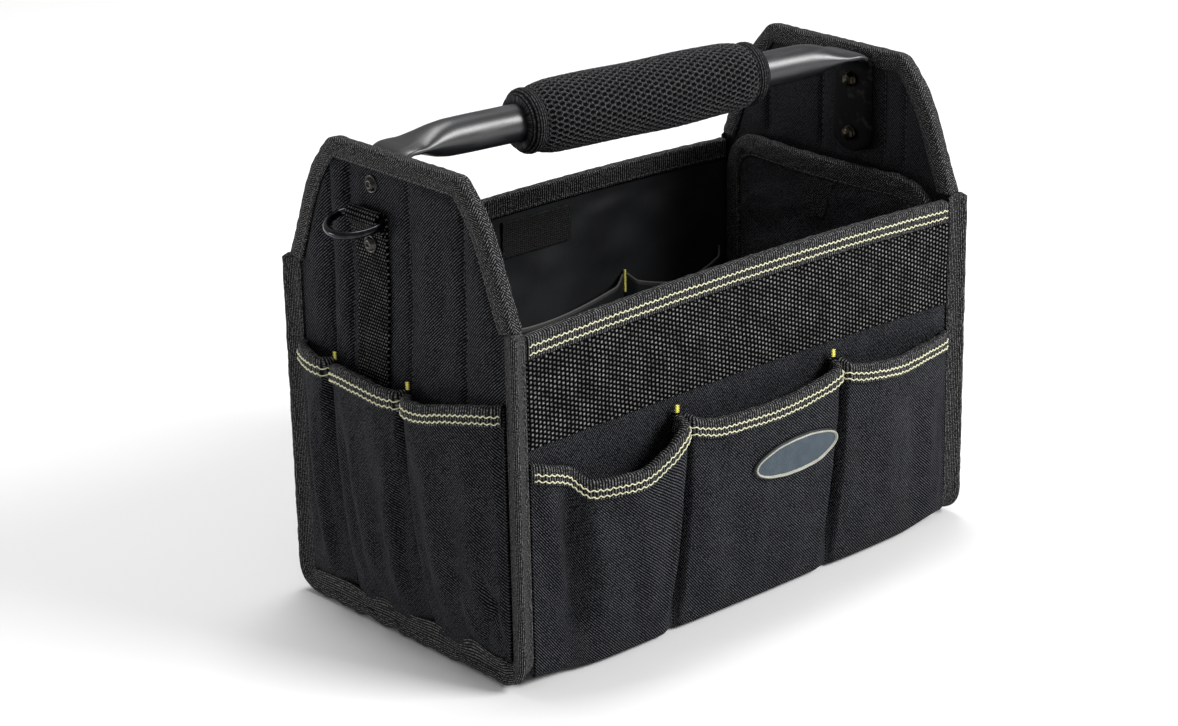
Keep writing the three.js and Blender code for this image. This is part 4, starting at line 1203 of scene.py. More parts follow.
class Side(Enum):
    """Which end or which side wall a copy goes to."""

    LEFT = "left"
    RIGHT = "right"
    FRONT = "front"
    BACK = "back"

    def copy(self, form: Form) -> Form:
        """Return a form shaped at the left or the front, turned half round where it goes opposite."""
        return form.turned() if self in (Side.RIGHT, Side.BACK) else form

    def named(self, name: str) -> str:
        """Return a piece's name on this side."""
        return f"{self.value}_{name}"


ENDS = (Side.LEFT, Side.RIGHT)
WALLS = (Side.FRONT, Side.BACK)


class Finish(Protocol):
    """Anything that builds its own material."""

    def make(self) -> bpy.types.Material:
        """Build the material."""


@dataclass
class Workshop:
    """Turns forms into pieces of the scene, and keeps each finish's material."""

    materials: dict[Finish, bpy.types.Material] = field(default_factory=dict)

    def material(self, finish: Finish) -> bpy.types.Material:
        """Return a finish's material, made the first time that it is wanted."""
        if finish not in self.materials:
            self.materials[finish] = finish.make()
        return self.materials[finish]

    def fit(
        self, form: Form, name: str, finishes: Sequence[Finish], stands_for: Sequence[str],
        body: str = "tote", marks: Mapping[str, Array] | None = None,
    ) -> bpy.types.Object:
        """Put a form into the scene in place of its CAD nodes.

        Args:
            form: The shape.
            name: Name of the piece.
            finishes: Its finishes, in the order of the form's finish numbers.
            stands_for: CAD nodes that it replaces.
            body: CAD body that it rides on.
            marks: Numbers for each point, by the name of their attribute.

        Returns:
            The new object.
        """
        mesh = form.mesh(name)
        for finish in finishes:
            mesh.materials.append(self.material(finish))
        for mark, values in (marks or {}).items():
            layer = mesh.attributes.new(mark, "FLOAT", "POINT")
            layer.data.foreach_set("value", values.astype(np.float32))
        piece = bpy.data.objects.new(name, mesh)
        bpy.context.scene.collection.objects.link(piece)
        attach(piece, body)
        if stands_for:
            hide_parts(*stands_for)
        log.info("%s: %d faces", name, len(form.faces))
        return piece

    def fit_pair(
        self, sides: Sequence[Side], form: Form, name: str, finishes: Sequence[Finish],
        node: str = "", body: str = "",
    ) -> list[bpy.types.Object]:
        """Fit a form on one side and its copy, turned half round, on the opposite side.

        Args:
            sides: The two sides.
            form: The shape at the left or the front.
            name: Name of the piece, less the side.
            finishes: Its finishes.
            node: CAD node that it replaces, less the side, or nothing.
            body: CAD body that it rides on, less the side. If not given, it is the tote.

        Returns:
            Both objects.
        """
        return [
            self.fit(
                side.copy(form), side.named(name), finishes, (side.named(node),) if node else (),
                side.named(body) if body else "tote",
            )
            for side in sides
        ]


# Body


@dataclass
class BodyWrap:
    """The one sheet that runs down the front, under the body and up the back, with its lining."""

    columns: int = 190
    wall_rows: int = 90
    wrinkle: float = 0.9

    def skin(self, inset: float) -> Array:
        """Lay one skin as rows from the front rim round the base to the back rim.

        A wall point is the wall's plane plus its bow. The round edge is a quarter circle of the base
        radius. The base lies level between them, raised by the base level.
        """
        s = TOTE
        x = np.linspace(-s.end_inner + s.gap, s.end_inner - s.gap, self.columns)[None]
        base = s.base_level(x)
        share = np.linspace(1.0, 0.0, self.wall_rows)[:, None]
        z = mix(base + s.base_radius, s.rim_level(x), share)
        wall = stacked(x, s.half_width + s.wall_bow_at(x, z) - inset, z)
        angle = quarter(9)[1:, None]
        reach = s.base_radius - inset
        curve = stacked(
            x,
            s.half_width - s.base_radius + reach * np.cos(angle),
            base + s.base_radius - reach * np.sin(angle),
        )
        half = np.concatenate((wall, curve))
        return np.concatenate((half * (1.0, -1.0, 1.0), half[::-1]))

    def form(self) -> Form:
        """Close the wrap, with broad wrinkles in the back wall's lining above the inside pockets."""
        outer, inner = self.skin(0.0), self.skin(TOTE.wall)
        x, y, z = np.moveaxis(inner, -1, 0)
        free = smooth((z - 118) / 22) * smooth((176 - z) / 10) * smooth((148 - np.abs(x)) / 16)
        folds = folds_of(
            (-118, 168, -60, 128, 9, 1.6), (-70, 172, -20, 126, 12, 1.3), (-10, 150, 70, 132, 9, 1.3),
            (40, 172, 92, 130, 11, 1.5), (82, 168, 120, 138, 8, 1.2),
        )
        lift = folded(folds, x, z) + self.wrinkle * ripple(x, z, 5, 46.0)
        inner = inner - stacked(0.0, 1.0, 0.0) * (np.sign(y) * free * lift)[..., None]
        run = length_along(outer[:, 0])
        weave = np.stack(np.broadcast_arrays(outer[..., 0], run[:, None]), axis=2)
        form = Form.shell(outer, inner, weave, shared=False)
        quads = (outer.shape[0] - 1) * (outer.shape[1] - 1)
        form.finish[quads : 2 * quads] = 1
        return form

    def build(self, shop: Workshop) -> None:
        """Fit the wrap."""
        shop.fit(self.form(), "body_wrap_cloth", (TWILL, LINING), ("body_wrap",))


@dataclass
class EndPanel:
    """A padded end: quilted channels between stitched lines, with soft upright folds."""

    lines: tuple[float, ...] = (0.61, 0.43, -0.11, -0.59)
    columns: int = 170
    rows: int = 190
    groove: float = 1.3
    groove_width: float = 1.5
    padding: float = 2.6
    liner_height: float = 196.0

    def line_places(self) -> Array:
        """Return where the stitched lines run, from the middle."""
        return TOTE.half_width * np.array(self.lines)

    def swell(self, y: Array, z: Array) -> Array:
        """Return how far the padding stands above the flat panel.

        A channel swells as 1 - |t|^2.6, with t from -1 to 1 across it. Each stitched line adds a narrow
        valley of a bell curve, and long upright ripples lie over all.
        """
        s = TOTE
        edges = np.concatenate(([s.trim_width], self.line_places(), [-s.trim_width]))[::-1]
        i = np.clip(np.searchsorted(edges, y) - 1, 0, len(edges) - 2)
        t = (2 * y - edges[i] - edges[i + 1]) / (edges[i + 1] - edges[i])
        free = smooth((z - 140) / 30) * (np.abs(y - s.fittings_offset + 4) > 24)
        puff = mix(s.crown, self.padding, free) * (1 - np.abs(np.clip(t, -1, 1)) ** 2.6)
        for line in self.line_places():
            puff = puff - self.groove * np.exp(-(((y - line) / self.groove_width) ** 2))
        folds = folds_of(
            (26, 256, 30, 196, 4, 0.8), (-2, 254, -4, 170, 5, 0.9), (-26, 250, -22, 150, 6, 1.1),
            (-38, 240, -36, 150, 4, -0.8), (-46, 226, -47, 140, 4, 0.8), (-62, 214, -70, 160, 6, 0.9),
            (64, 214, 66, 150, 6, 0.9), (46, 246, 45, 160, 4, 0.7),
        )
        soft = 0.16 * ripple(y, z, 11, 17.0, 5.0) + 0.12 * ripple(y, z, 12, 6.0, 2.0)
        held = smooth((z - s.panel_foot) / 20)
        return (puff + soft + folded(folds, y, z)) * held

    def form(self) -> Form:
        """Lay both skins on a grid that follows the outline, and sew the stitched lines."""
        s = TOTE
        z = np.concatenate((
            s.seam_reach + s.base_radius * (1 - np.cos(quarter(9)[:-1])),
            np.linspace(s.seam_reach + s.base_radius, s.peak_height, self.rows),
        ))[:, None]
        share = np.linspace(-1.0, 1.0, self.columns)[None]
        y = share * end_half_width(z)
        z = np.broadcast_to(z, y.shape)
        edge = smooth((end_half_width(z) - np.abs(y) - 7) / 7) * smooth((s.peak_height - z - 7) / 7)
        lift = self.swell(y, z) * edge
        outer = stacked(-s.half_length - s.end_bow_at(y, z) - lift, y, z)
        free = edge * smooth((z - self.liner_height) / 8)
        dent = (0.35 * ripple(y, z, 14, 21.0, 3.0) + self.channels(y) - 0.5) * free
        inner = stacked(-s.end_inner - 0.8 * s.end_bow_at(y, z) - dent, y, z)
        weave = np.stack((y, z), axis=2)
        cloth = Form.shell(outer, inner, weave, shared=False)
        quads = len(quads_of(y))
        # The inner skin takes the darker copy of the twill: painted shade inside the end.
        cloth.finish[quads : 2 * quads] = 2
        parts = [cloth]
        for line in self.line_places():
            top = self.line_top(line)
            parts.append(self.seam(line, s.panel_foot + 4, top))
            level = np.linspace(self.liner_height + 4, top, 60)
            at = stacked(-s.end_inner - 1.3, line + 0 * level, level)
            parts.append(dashes(at, stacked(1.0 + 0 * level, 0.0, 0.0), 2.7, 1.0, 0.33, finish=1))
        return Form.joined(parts)

    def channels(self, y: Array) -> Array:
        """Return how deep the stitched lines lie on the inner side: a bell curve on each."""
        return sum(1.9 * np.exp(-(((y - line) / 2.0) ** 2)) for line in self.line_places())

    def line_top(self, line: float) -> float:
        """Return how high a stitched line runs before it meets the edge tape."""
        z = np.linspace(TOTE.seam_top, TOTE.peak_height, 200)
        inside = z[end_half_width(z) > abs(line) + 9]
        return float(min(inside.max(), TOTE.peak_height - 10))

    def seam(self, line: float, low: float, high: float) -> Form:
        """Sew dashes up one stitched line, in the valley between two channels."""
        z = np.linspace(low, high, 120)
        y = line + 0.25 * ripple(z, z * 0, 21, 30.0)
        out = stacked(-1.0 + 0 * z, 0.0, 0.0)
        depth = self.swell(y, z) + TOTE.end_bow_at(y, z)
        points = stacked(-TOTE.half_length - depth - 0.1, y, z)
        return dashes(points, out, 2.7, 1.0, 0.33, finish=1)

    def build(self, shop: Workshop) -> None:
        """Fit both ends."""
        # The third finish is the darker copy of the twill, painted shade on the inner faces.
        finishes = (TWILL, DARK_THREAD, SHADED_TWILL)
        for piece in shop.fit_pair(ENDS, self.form(), "end_cloth", finishes, "end_panel"):
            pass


@dataclass
class EndBinding:
    """The herringbone tape over the raised edge of an end."""

    corner: float = 3.2
    width: float = 9.0

    def tape(self) -> Tape:
        """Lay the tape along the outline from the back seam over the peak to the front seam."""
        s = TOTE
        up = np.linspace(0.0, 1.0, 60)
        z = mix(s.seam_top - 1.0, s.peak_height, up)
        half = np.stack((end_half_width(z), z), axis=1)
        path = np.concatenate((half, half[::-1] * (-1.0, 1.0)))
        path = resampled(path, 1.6, self.corner)
        inward = leftward(path)
        inward[0], inward[-1] = (-1.0, 0.0), (1.0, 0.0)
        root = path + self.width * inward
        at = lambda line: stacked(-s.half_length, line[:, 0], line[:, 1])
        out = np.broadcast_to((-1.0, 0.0, 0.0), (len(path), 3))
        return Tape(
            at(path), at(root), out, out, s.end_wall, s.gap + s.crown, s.gap, pucker=0.16, bulge=0.9, seed=31,
        )

    def build(self, shop: Workshop) -> None:
        """Fit both bindings, each with its line of dark stitches."""
        tape = self.tape()
        sewing = tape.dashed(0.84, 2.3, 1.3, 0.33).painted(1)
        form = Form.joined((tape.form(), sewing))
        shop.fit_pair(ENDS, form, "end_edge_tape", (HERRINGBONE, GREY_THREAD), "end_binding")


@dataclass
class CornerSeam:
    """The bound seam between an end and the wrap: down one corner, under the end and up the other."""

    section: tuple[tuple[float, float], ...] = (
        (0.3, -6.2), (1.1, -6.3), (1.5, -5.9), (1.9, -3.6), (2.7, -1.5), (4.0, 0.6), (5.3, 2.3), (5.5, 3.1),
        (5.1, 4.3), (4.3, 5.1), (3.1, 5.5), (2.3, 5.3), (0.6, 4.0), (-1.5, 2.7), (-3.6, 1.9), (-5.9, 1.5),
        (-6.3, 1.1), (-6.2, 0.3), (-3.0, 0.3), (0.3, 0.3), (0.3, -3.0),
    )
    welt: float = 4.6
    widening: float = 5.5
    stitch_reach: float = 4.6
    stitch_out: float = 1.75

    def path(self) -> tuple[Array, Array]:
        """Return the places along the seam in (y, z) and the outward normals there."""
        s = TOTE
        wall = np.linspace(s.seam_top, s.base_radius + s.seam_reach, 90)
        angle = quarter(17)[1:-1]
        corner = s.half_width - s.base_radius
        level = s.base_radius + s.seam_reach
        floor = np.linspace(corner, 0.0, 40)
        y = np.concatenate((np.full(90, s.half_width), corner + s.base_radius * np.cos(angle), floor))
        z = np.concatenate((wall, level - s.base_radius * np.sin(angle), np.full(40, s.seam_reach)))
        ny = np.concatenate((np.ones(90), np.cos(angle), np.zeros(40)))
        nz = np.concatenate((np.zeros(90), -np.sin(angle), -np.ones(40)))
        half, normal = np.stack((y, z), axis=1), np.stack((ny, nz), axis=1)
        flip = np.array((-1.0, 1.0))
        return np.concatenate((half, half[-2::-1] * flip)), np.concatenate((normal, normal[-2::-1] * flip))

    def form(self) -> Form:
        """Carry the section along the path, with soft puckers, and close its two upper ends round."""
        path, normal = self.path()
        run = length_along(path)
        section = np.array(self.section)
        closed = np.concatenate((section, section[:1]))
        section = resampled(closed, 0.75, 0.5)[:-1]
        outward = section.sum(axis=1) > 1.0
        place = np.arange(len(section))[None] * 0.7
        pucker = 0.2 * ripple(run[:, None], place, 41, 11.0) + 0.14 * ripple(run[:, None], place, 42, 3.5)
        grow = 1 + 0.05 * pucker * outward
        near = np.minimum(run, run[-1] - run)
        close = 0.55 + 0.45 * np.sqrt(np.clip(near / 2.0, 0, 1))
        under = smooth((-normal[:, 1:] - 0.6) / 0.4)
        flange = np.clip(-section[:, 1][None] / 6.3, 0.0, 1.0) * (section[:, 0] > 0)[None]
        level = 0 * run[:, None]
        wave = ripple(run[:, None], level, 43, 26.0)
        across = section[:, 0][None] * grow * close[:, None] + under * flange * (self.welt + 0.5 * wave)
        over = section[:, 1][None] * grow * close[:, None] - under * flange * (self.widening + 1.5 * wave)
        rings = stacked(
            -TOTE.half_length - across - 0.35 * pucker * outward,
            path[:, :1] + normal[:, :1] * over,
            path[:, 1:] + normal[:, 1:] * over,
        )
        lifted = under * (section[:, 1] > 0)[None] * (0.8 + 0.8 * ripple(run[:, None], level, 44, 17.0))
        rings[..., 2] = np.maximum(rings[..., 2] + np.maximum(lifted, 0.0), 0.0)
        around = length_along(np.concatenate((section, section[:1])))
        return Form.sweep(rings, weave=lattice(run, around))

    def sewing(self) -> Form:
        """Sew a line of stitches along the seam's tape on each face, near its edge."""
        path, normal = self.path()
        place = lambda x, out: stacked(x, *(path + out * normal).T)[3:-3]
        end = place(-TOTE.half_length - self.stitch_out, -self.stitch_reach)
        wall = place(-TOTE.half_length + self.stitch_reach, self.stitch_out)
        outs = stacked(0.0, *normal.T)[3:-3]
        lines = ((end, np.broadcast_to(-X_AXIS, end.shape)), (wall, outs))
        return Form.joined([dashes(line, out, 2.4, 1.2, 0.28, finish=1) for line, out in lines])

    def build(self, shop: Workshop) -> None:
        """Fit both seams."""
        form = Form.joined((self.form(), self.sewing()))
        shop.fit_pair(ENDS, form, "corner_seam_tape", (SEAM_RIBS, DARK_THREAD), "corner_seam")


@dataclass
class RimTrim:
    """The ribbed tape over a side wall's rim, and the coarse webbing band below it."""

    band_drop: float = 58.0
    band: float = 1.2
    stitch_rows: tuple[float, ...] = (0.33, 0.7)

    def tape(self) -> Tape:
        """Lay the tape along the front rim."""
        s = TOTE
        x = np.linspace(-s.trim_length, s.trim_length, 190)
        z = s.rim_level(x)
        bow = s.wall_bow_at(x, z - s.tape_fold)
        edge = stacked(x, -s.half_width, z)
        root = stacked(x, -s.half_width - bow, z - s.tape_fold)
        out = np.broadcast_to((0.0, -1.0, 0.0), edge.shape)
        return Tape(edge, root, out, out, s.wall, s.gap, s.gap, pucker=0.14, bulge=0.3, seed=51)

    def band_form(self) -> Form:
        """Lay the band on the front wall, slightly wavy between its stitched edges."""
        s = TOTE
        columns = Span(-s.trim_length, s.trim_length, 150, self.band / 2)
        rows = Span(s.tape_fold + s.gap, self.band_drop, 32, self.band / 2)
        x, drop = np.meshgrid(columns.places, rows.places)
        z = s.rim_level(x) - drop
        free = smooth((self.band_drop - drop) / 8) * smooth((drop - 12) / 8)
        wave = 0.35 * ripple(x, z, 61, 34.0, 1.4) * free
        mid = s.front(x, z, s.gap + self.band / 2 + 0.3 + wave)
        lift = rows.lift[:, None] * columns.lift[None]
        return sheet(mid, facing(mid, -Y_AXIS), self.band, lift, np.stack((x, -drop), axis=2))

    def build(self, shop: Workshop) -> None:
        """Fit the tapes and bands of both walls."""
        tape = self.tape()
        cream = [tape.zigzag(down, 70 + i).painted(1) for i, down in enumerate(self.stitch_rows)]
        under = -tape.cover - 2 * TOTE.tape - 3 * TOTE.gap
        points, outward = tape.at(np.linspace(2, tape.length - 2, 150), 0.78, under)
        lower = dashes(points, -outward, 2.3, 1.1, 0.34, finish=2)
        form = Form.joined((tape.form(), *cream, lower))
        shop.fit_pair(WALLS, form, "rim_binding", (RIM_RIBS, CREAM, GREY_THREAD), "rim_tape")
        shop.fit_pair(WALLS, self.band_form(), "band_webbing", (WEBBING,), "webbing_band")


# Pockets

Place = Callable[[Array, Array, Array], Array]
DIVIDER = 0.36  # a side wall's dividers, as a share of half the length
TACK = (4.6, 3.0)  # length and width of a bar tack
FAR = 99.0  # keeps a valley off a side without a divider
FULLNESS = ((0.0, 0.22), (0.3, 0.62), (0.65, 0.9), (0.92, 1.0), (1.0, 1.0))


@dataclass
class Pocket:
    """One pocket of cloth that stands out from a wall, full at its opening and flat at its foot.

    Along is the coordinate along the wall. Sections give, at shares of the pocket's width, how far it
    stands out as a share of its depth and how far its opening sags as a share of the sag.
    """

    name: str
    start: float
    end: float
    sections: tuple[tuple[float, float, float], ...]
    top: float
    depth: float
    sag: float
    place: Place
    outward: tuple[float, float, float]
    lower: Callable[[Array], Array]
    cover: float = TOTE.cloth
    tuck: Callable[[Array], Array] | None = None
    folds: tuple[Fold, ...] = ()
    foot_round: float = 3.0
    pinch: float = 7.0
    slack: float = 1.0
    hollow: float = 0.0
    columns: int = 120
    rows: int = 84
    seed: int = 1
    wrinkle: float = 0.35

    def share(self, along: Array) -> Array:
        """Return places along the wall as shares of the pocket's width."""
        return np.clip((along - self.start) / (self.end - self.start), 0.0, 1.0)

    def out(self, along: Array) -> Array:
        """Return how far the opening stands out."""
        return self.depth * through([(a, o) for a, o, _ in self.sections], self.share(along))

    def opening(self, along: Array) -> Array:
        """Return the height of the opening's edge."""
        return self.top - self.sag * through([(a, s) for a, _, s in self.sections], self.share(along))

    def skin(self, along: Array, z: Array) -> Array:
        """Return points on the pocket's outer skin.

        It stands out by the opening's reach times the fullness at that share of its height, plus its
        folds and ripples, which fade towards its two sides and its tape, less a round foot. A side that
        ends at a divider sinks into a valley, which widens by the pinch towards the foot. A side that
        ends at a corner seam is open there and tucked in, with a wider hollow towards the foot if given.
        """
        low = self.lower(along)
        up = np.clip((z - low) / (self.opening(along) - low), 0.0, 1.0)
        from_start, to_end = along - self.start, self.end - along
        open_start, open_end = self.sections[0][1] > 0, self.sections[-1][1] > 0
        if self.hollow:
            tucked = smooth(1 - from_start / (8 + self.hollow * (1 - up))) * open_start
        else:
            tucked = smooth(1 - np.abs(from_start) / 4) * open_start
        tucked = tucked + smooth(1 - to_end / (self.end - self.start) * 12) * open_end
        first = np.abs(from_start) + FAR * open_start
        last = np.abs(to_end) + FAR * open_end
        valley = smooth(first / (0.8 + 0.25 * self.pinch * (1 - up)) + 0.05)
        valley = valley * smooth(last / (2.5 + 1.25 * self.pinch * (1 - up)) + 0.05)
        full = through(FULLNESS, up) ** mix(1.0, self.slack, smooth(up * 4))
        out = self.out(along) * full * (1 - tucked) * mix(valley, 1.0, smooth((up - 0.9) * 10))
        side = smooth(np.minimum(np.abs(from_start), np.abs(to_end)) / 7)
        top = smooth((self.opening(along) - 4 - z) / 12)
        foot = smooth((z - low) / 10)
        lift = 1.6 * folded(self.folds, along, z) + self.wrinkle * ripple(along, z, self.seed, 24.0, 2.0)
        lift = lift + 0.3 * self.wrinkle * ripple(along, z, self.seed + 50, 8.0, 1.5)
        past = np.clip(1 - (z - low) / self.foot_round, 0.0, 1.0)
        under = self.foot_round * (1 - np.sqrt(1 - past**2 * 0.999))
        height = np.maximum(TOTE.gap + self.cover + out + lift * side * top * foot - under, TOTE.gap + 0.1)
        return self.place(along, z, height)

    def along_places(self, start: float = 0.0, end: float = 1.0, count: int = 0) -> Array:
        """Return places along the wall that are evenly spaced along the curve of the opening."""
        dense = mix(self.start, self.end, np.linspace(start, end, 3000))
        curve = np.stack((dense, self.out(dense)), axis=1)
        run = length_along(curve)
        return np.interp(np.linspace(0, run[-1], count or self.columns), run, dense)

    def form(self) -> tuple[Form, tuple[float, float], float]:
        """Close the cloth between its two skins.

        Returns:
            The form, the mean lengths of its rows and columns, and the area of its outer skin, in mm.
        """
        along = self.along_places()[None]
        low, high = self.lower(along), self.opening(along)
        share = np.linspace(0.0, 1.0, self.rows)[:, None] ** 1.15
        z = mix(low, high, share)
        outer = self.skin(np.broadcast_to(along, z.shape), z)
        if self.tuck is not None:
            turn = np.linspace(1.0, 0.0, 7)[:-1, None]
            under = outer[:1] - np.array(self.outward) * (self.tuck(along) * turn)[..., None]
            outer = np.concatenate((under, outer))
        normal = facing(outer, np.array(self.outward))
        inner = outer - self.cover * normal
        steps = np.linalg.norm(np.diff(outer, axis=1), axis=2)
        rises = np.linalg.norm(np.diff(outer, axis=0), axis=2)
        width, height = float(steps.sum(axis=1).mean()), float(rises.sum(axis=0).mean())
        area = float((0.5 * (steps[:-1] + steps[1:]) * 0.5 * (rises[:, :-1] + rises[:, 1:])).sum())
        weave = np.stack(np.meshgrid(running(steps.mean(axis=0)), running(rises.mean(axis=1))), axis=2)
        return Form.shell(outer, inner, weave, shared=False), (width, height), area

    def tape(self, start: float, end: float, seed: int) -> Tape:
        """Lay a tape over the opening between two shares of the pocket's width."""
        along = self.along_places(start, end)
        z = self.opening(along)
        edge = self.skin(along, z)
        fold = TOTE.pocket_fold
        root = self.skin(along, z - fold)
        tangent = unit(np.gradient(edge, axis=0))
        up = unit(edge - root)
        out = unit(np.cross(tangent, up))
        if float((out @ np.array(self.outward)).mean()) < 0:
            out = -out
        ease = 2 * TOTE.gap
        return Tape(edge, root, out, out, self.cover, 0.5 * ease, ease, pucker=0.2, bulge=0.35, seed=seed)


# Pocket sections from left to right, in shares: across, out and sag.
SIDE_POCKETS = (
    ("pocket_1", -1.0, -DIVIDER, (
        (0, 0.13, 0.25), (0.23, 0.16, 0.6), (0.33, 0.6, 1), (0.6, 1, 1), (0.8, 1, 0.65), (0.88, 0.96, 0.42),
        (0.96, 0.8, 0.2), (1, 0, 0.1),
    )),
    ("pocket_2", -DIVIDER, DIVIDER, (
        (0, 0, 0.1), (0.035, 0.6, 0.25), (0.2, 0.75, 0.45), (0.5, 0.82, 0.5), (0.8, 0.75, 0.4),
        (0.965, 0.62, 0.25), (1, 0, 0.1),
    )),
    ("pocket_3", DIVIDER, 1.0, (
        (0, 0, 0.1), (0.04, 0.6, 0.3), (0.25, 0.72, 0.5), (0.5, 0.62, 0.65), (0.8, 0.35, 0.65),
        (1, 0.13, 0.7),
    )),
)
END_POCKETS = (
    ("end_pocket_1", (
        (0, 0.15, 0.04), (0.2, 0.35, 0.02), (0.45, 0.52, 0.02), (0.7, 0.62, 0.04), (0.92, 0.55, 0.06),
        (1, 0, 0.1),
    )),
    ("end_pocket_2", (
        (0, 0, 0.3), (0.05, 0.42, 0.2), (0.25, 0.6, 0.06), (0.5, 0.66, 0.08), (0.75, 0.64, 0.16),
        (0.95, 0.5, 0.17), (1, 0, 0.2),
    )),
    ("end_pocket_3", (
        (0, 0, 0.3), (0.04, 0.5, 0.2), (0.15, 0.7, 0.21), (0.3, 0.7, 0.15), (0.5, 0.6, -0.05),
        (0.8, 0.38, -0.33), (1, 0.15, -0.45),
    )),
)
SIDE_FOLDS = {
    "pocket_1": folds_of(
        (-133, 104, -127, 24, 5, -2.4), (-123, 100, -114, 22, 5.5, 1.9), (-140, 100, -134, 40, 5, 1),
        (-108, 92, -92, 20, 7, -1.1), (-94, 92, -80, 14, 7, 1.1), (-66, 100, -74, 20, 5, -1.1),
        (-146, 60, -118, 12, 6, -1.3),
    ),
    "pocket_2": folds_of(
        (-46, 96, -34, 16, 8, 0.8), (-24, 70, -14, 12, 9, -0.7), (30, 62, 24, 10, 9, 0.6),
        (46, 96, 40, 16, 7, -0.7),
    ),
    "pocket_3": folds_of(
        (70, 100, 76, 20, 6, -0.9), (92, 96, 100, 16, 8, 1), (116, 92, 124, 16, 7, -1),
        (138, 90, 136, 20, 6, 0.9),
    ),
}
END_FOLDS = {
    "end_pocket_1": folds_of(
        (74, 126, 70, 28, 3.6, -1.5), (66, 120, 64, 24, 4, 1.2), (57, 118, 60, 22, 3.5, -1.2),
    ),
    "end_pocket_2": folds_of(
        (40, 122, 33, 26, 4, -1.8), (32, 118, 22, 22, 4.5, 1.4), (16, 118, 14, 24, 5, -1.2),
        (2, 118, 6, 22, 4.5, 1.2), (-6, 122, 0, 30, 3.5, -1.6),
    ),
    "end_pocket_3": folds_of(
        (-20, 120, -24, 26, 4.5, -1.8), (-30, 116, -36, 22, 5.5, 1.3), (-46, 114, -48, 22, 6, -1.2),
        (-60, 118, -60, 28, 5.5, 1), (-72, 120, -70, 30, 5, -1), (-62, 64, -77, 22, 3, -1.6),
        (-76, 56, -62, 20, 3, -1.4), (-48, 48, -58, 18, 4, 1.3),
    ),
}


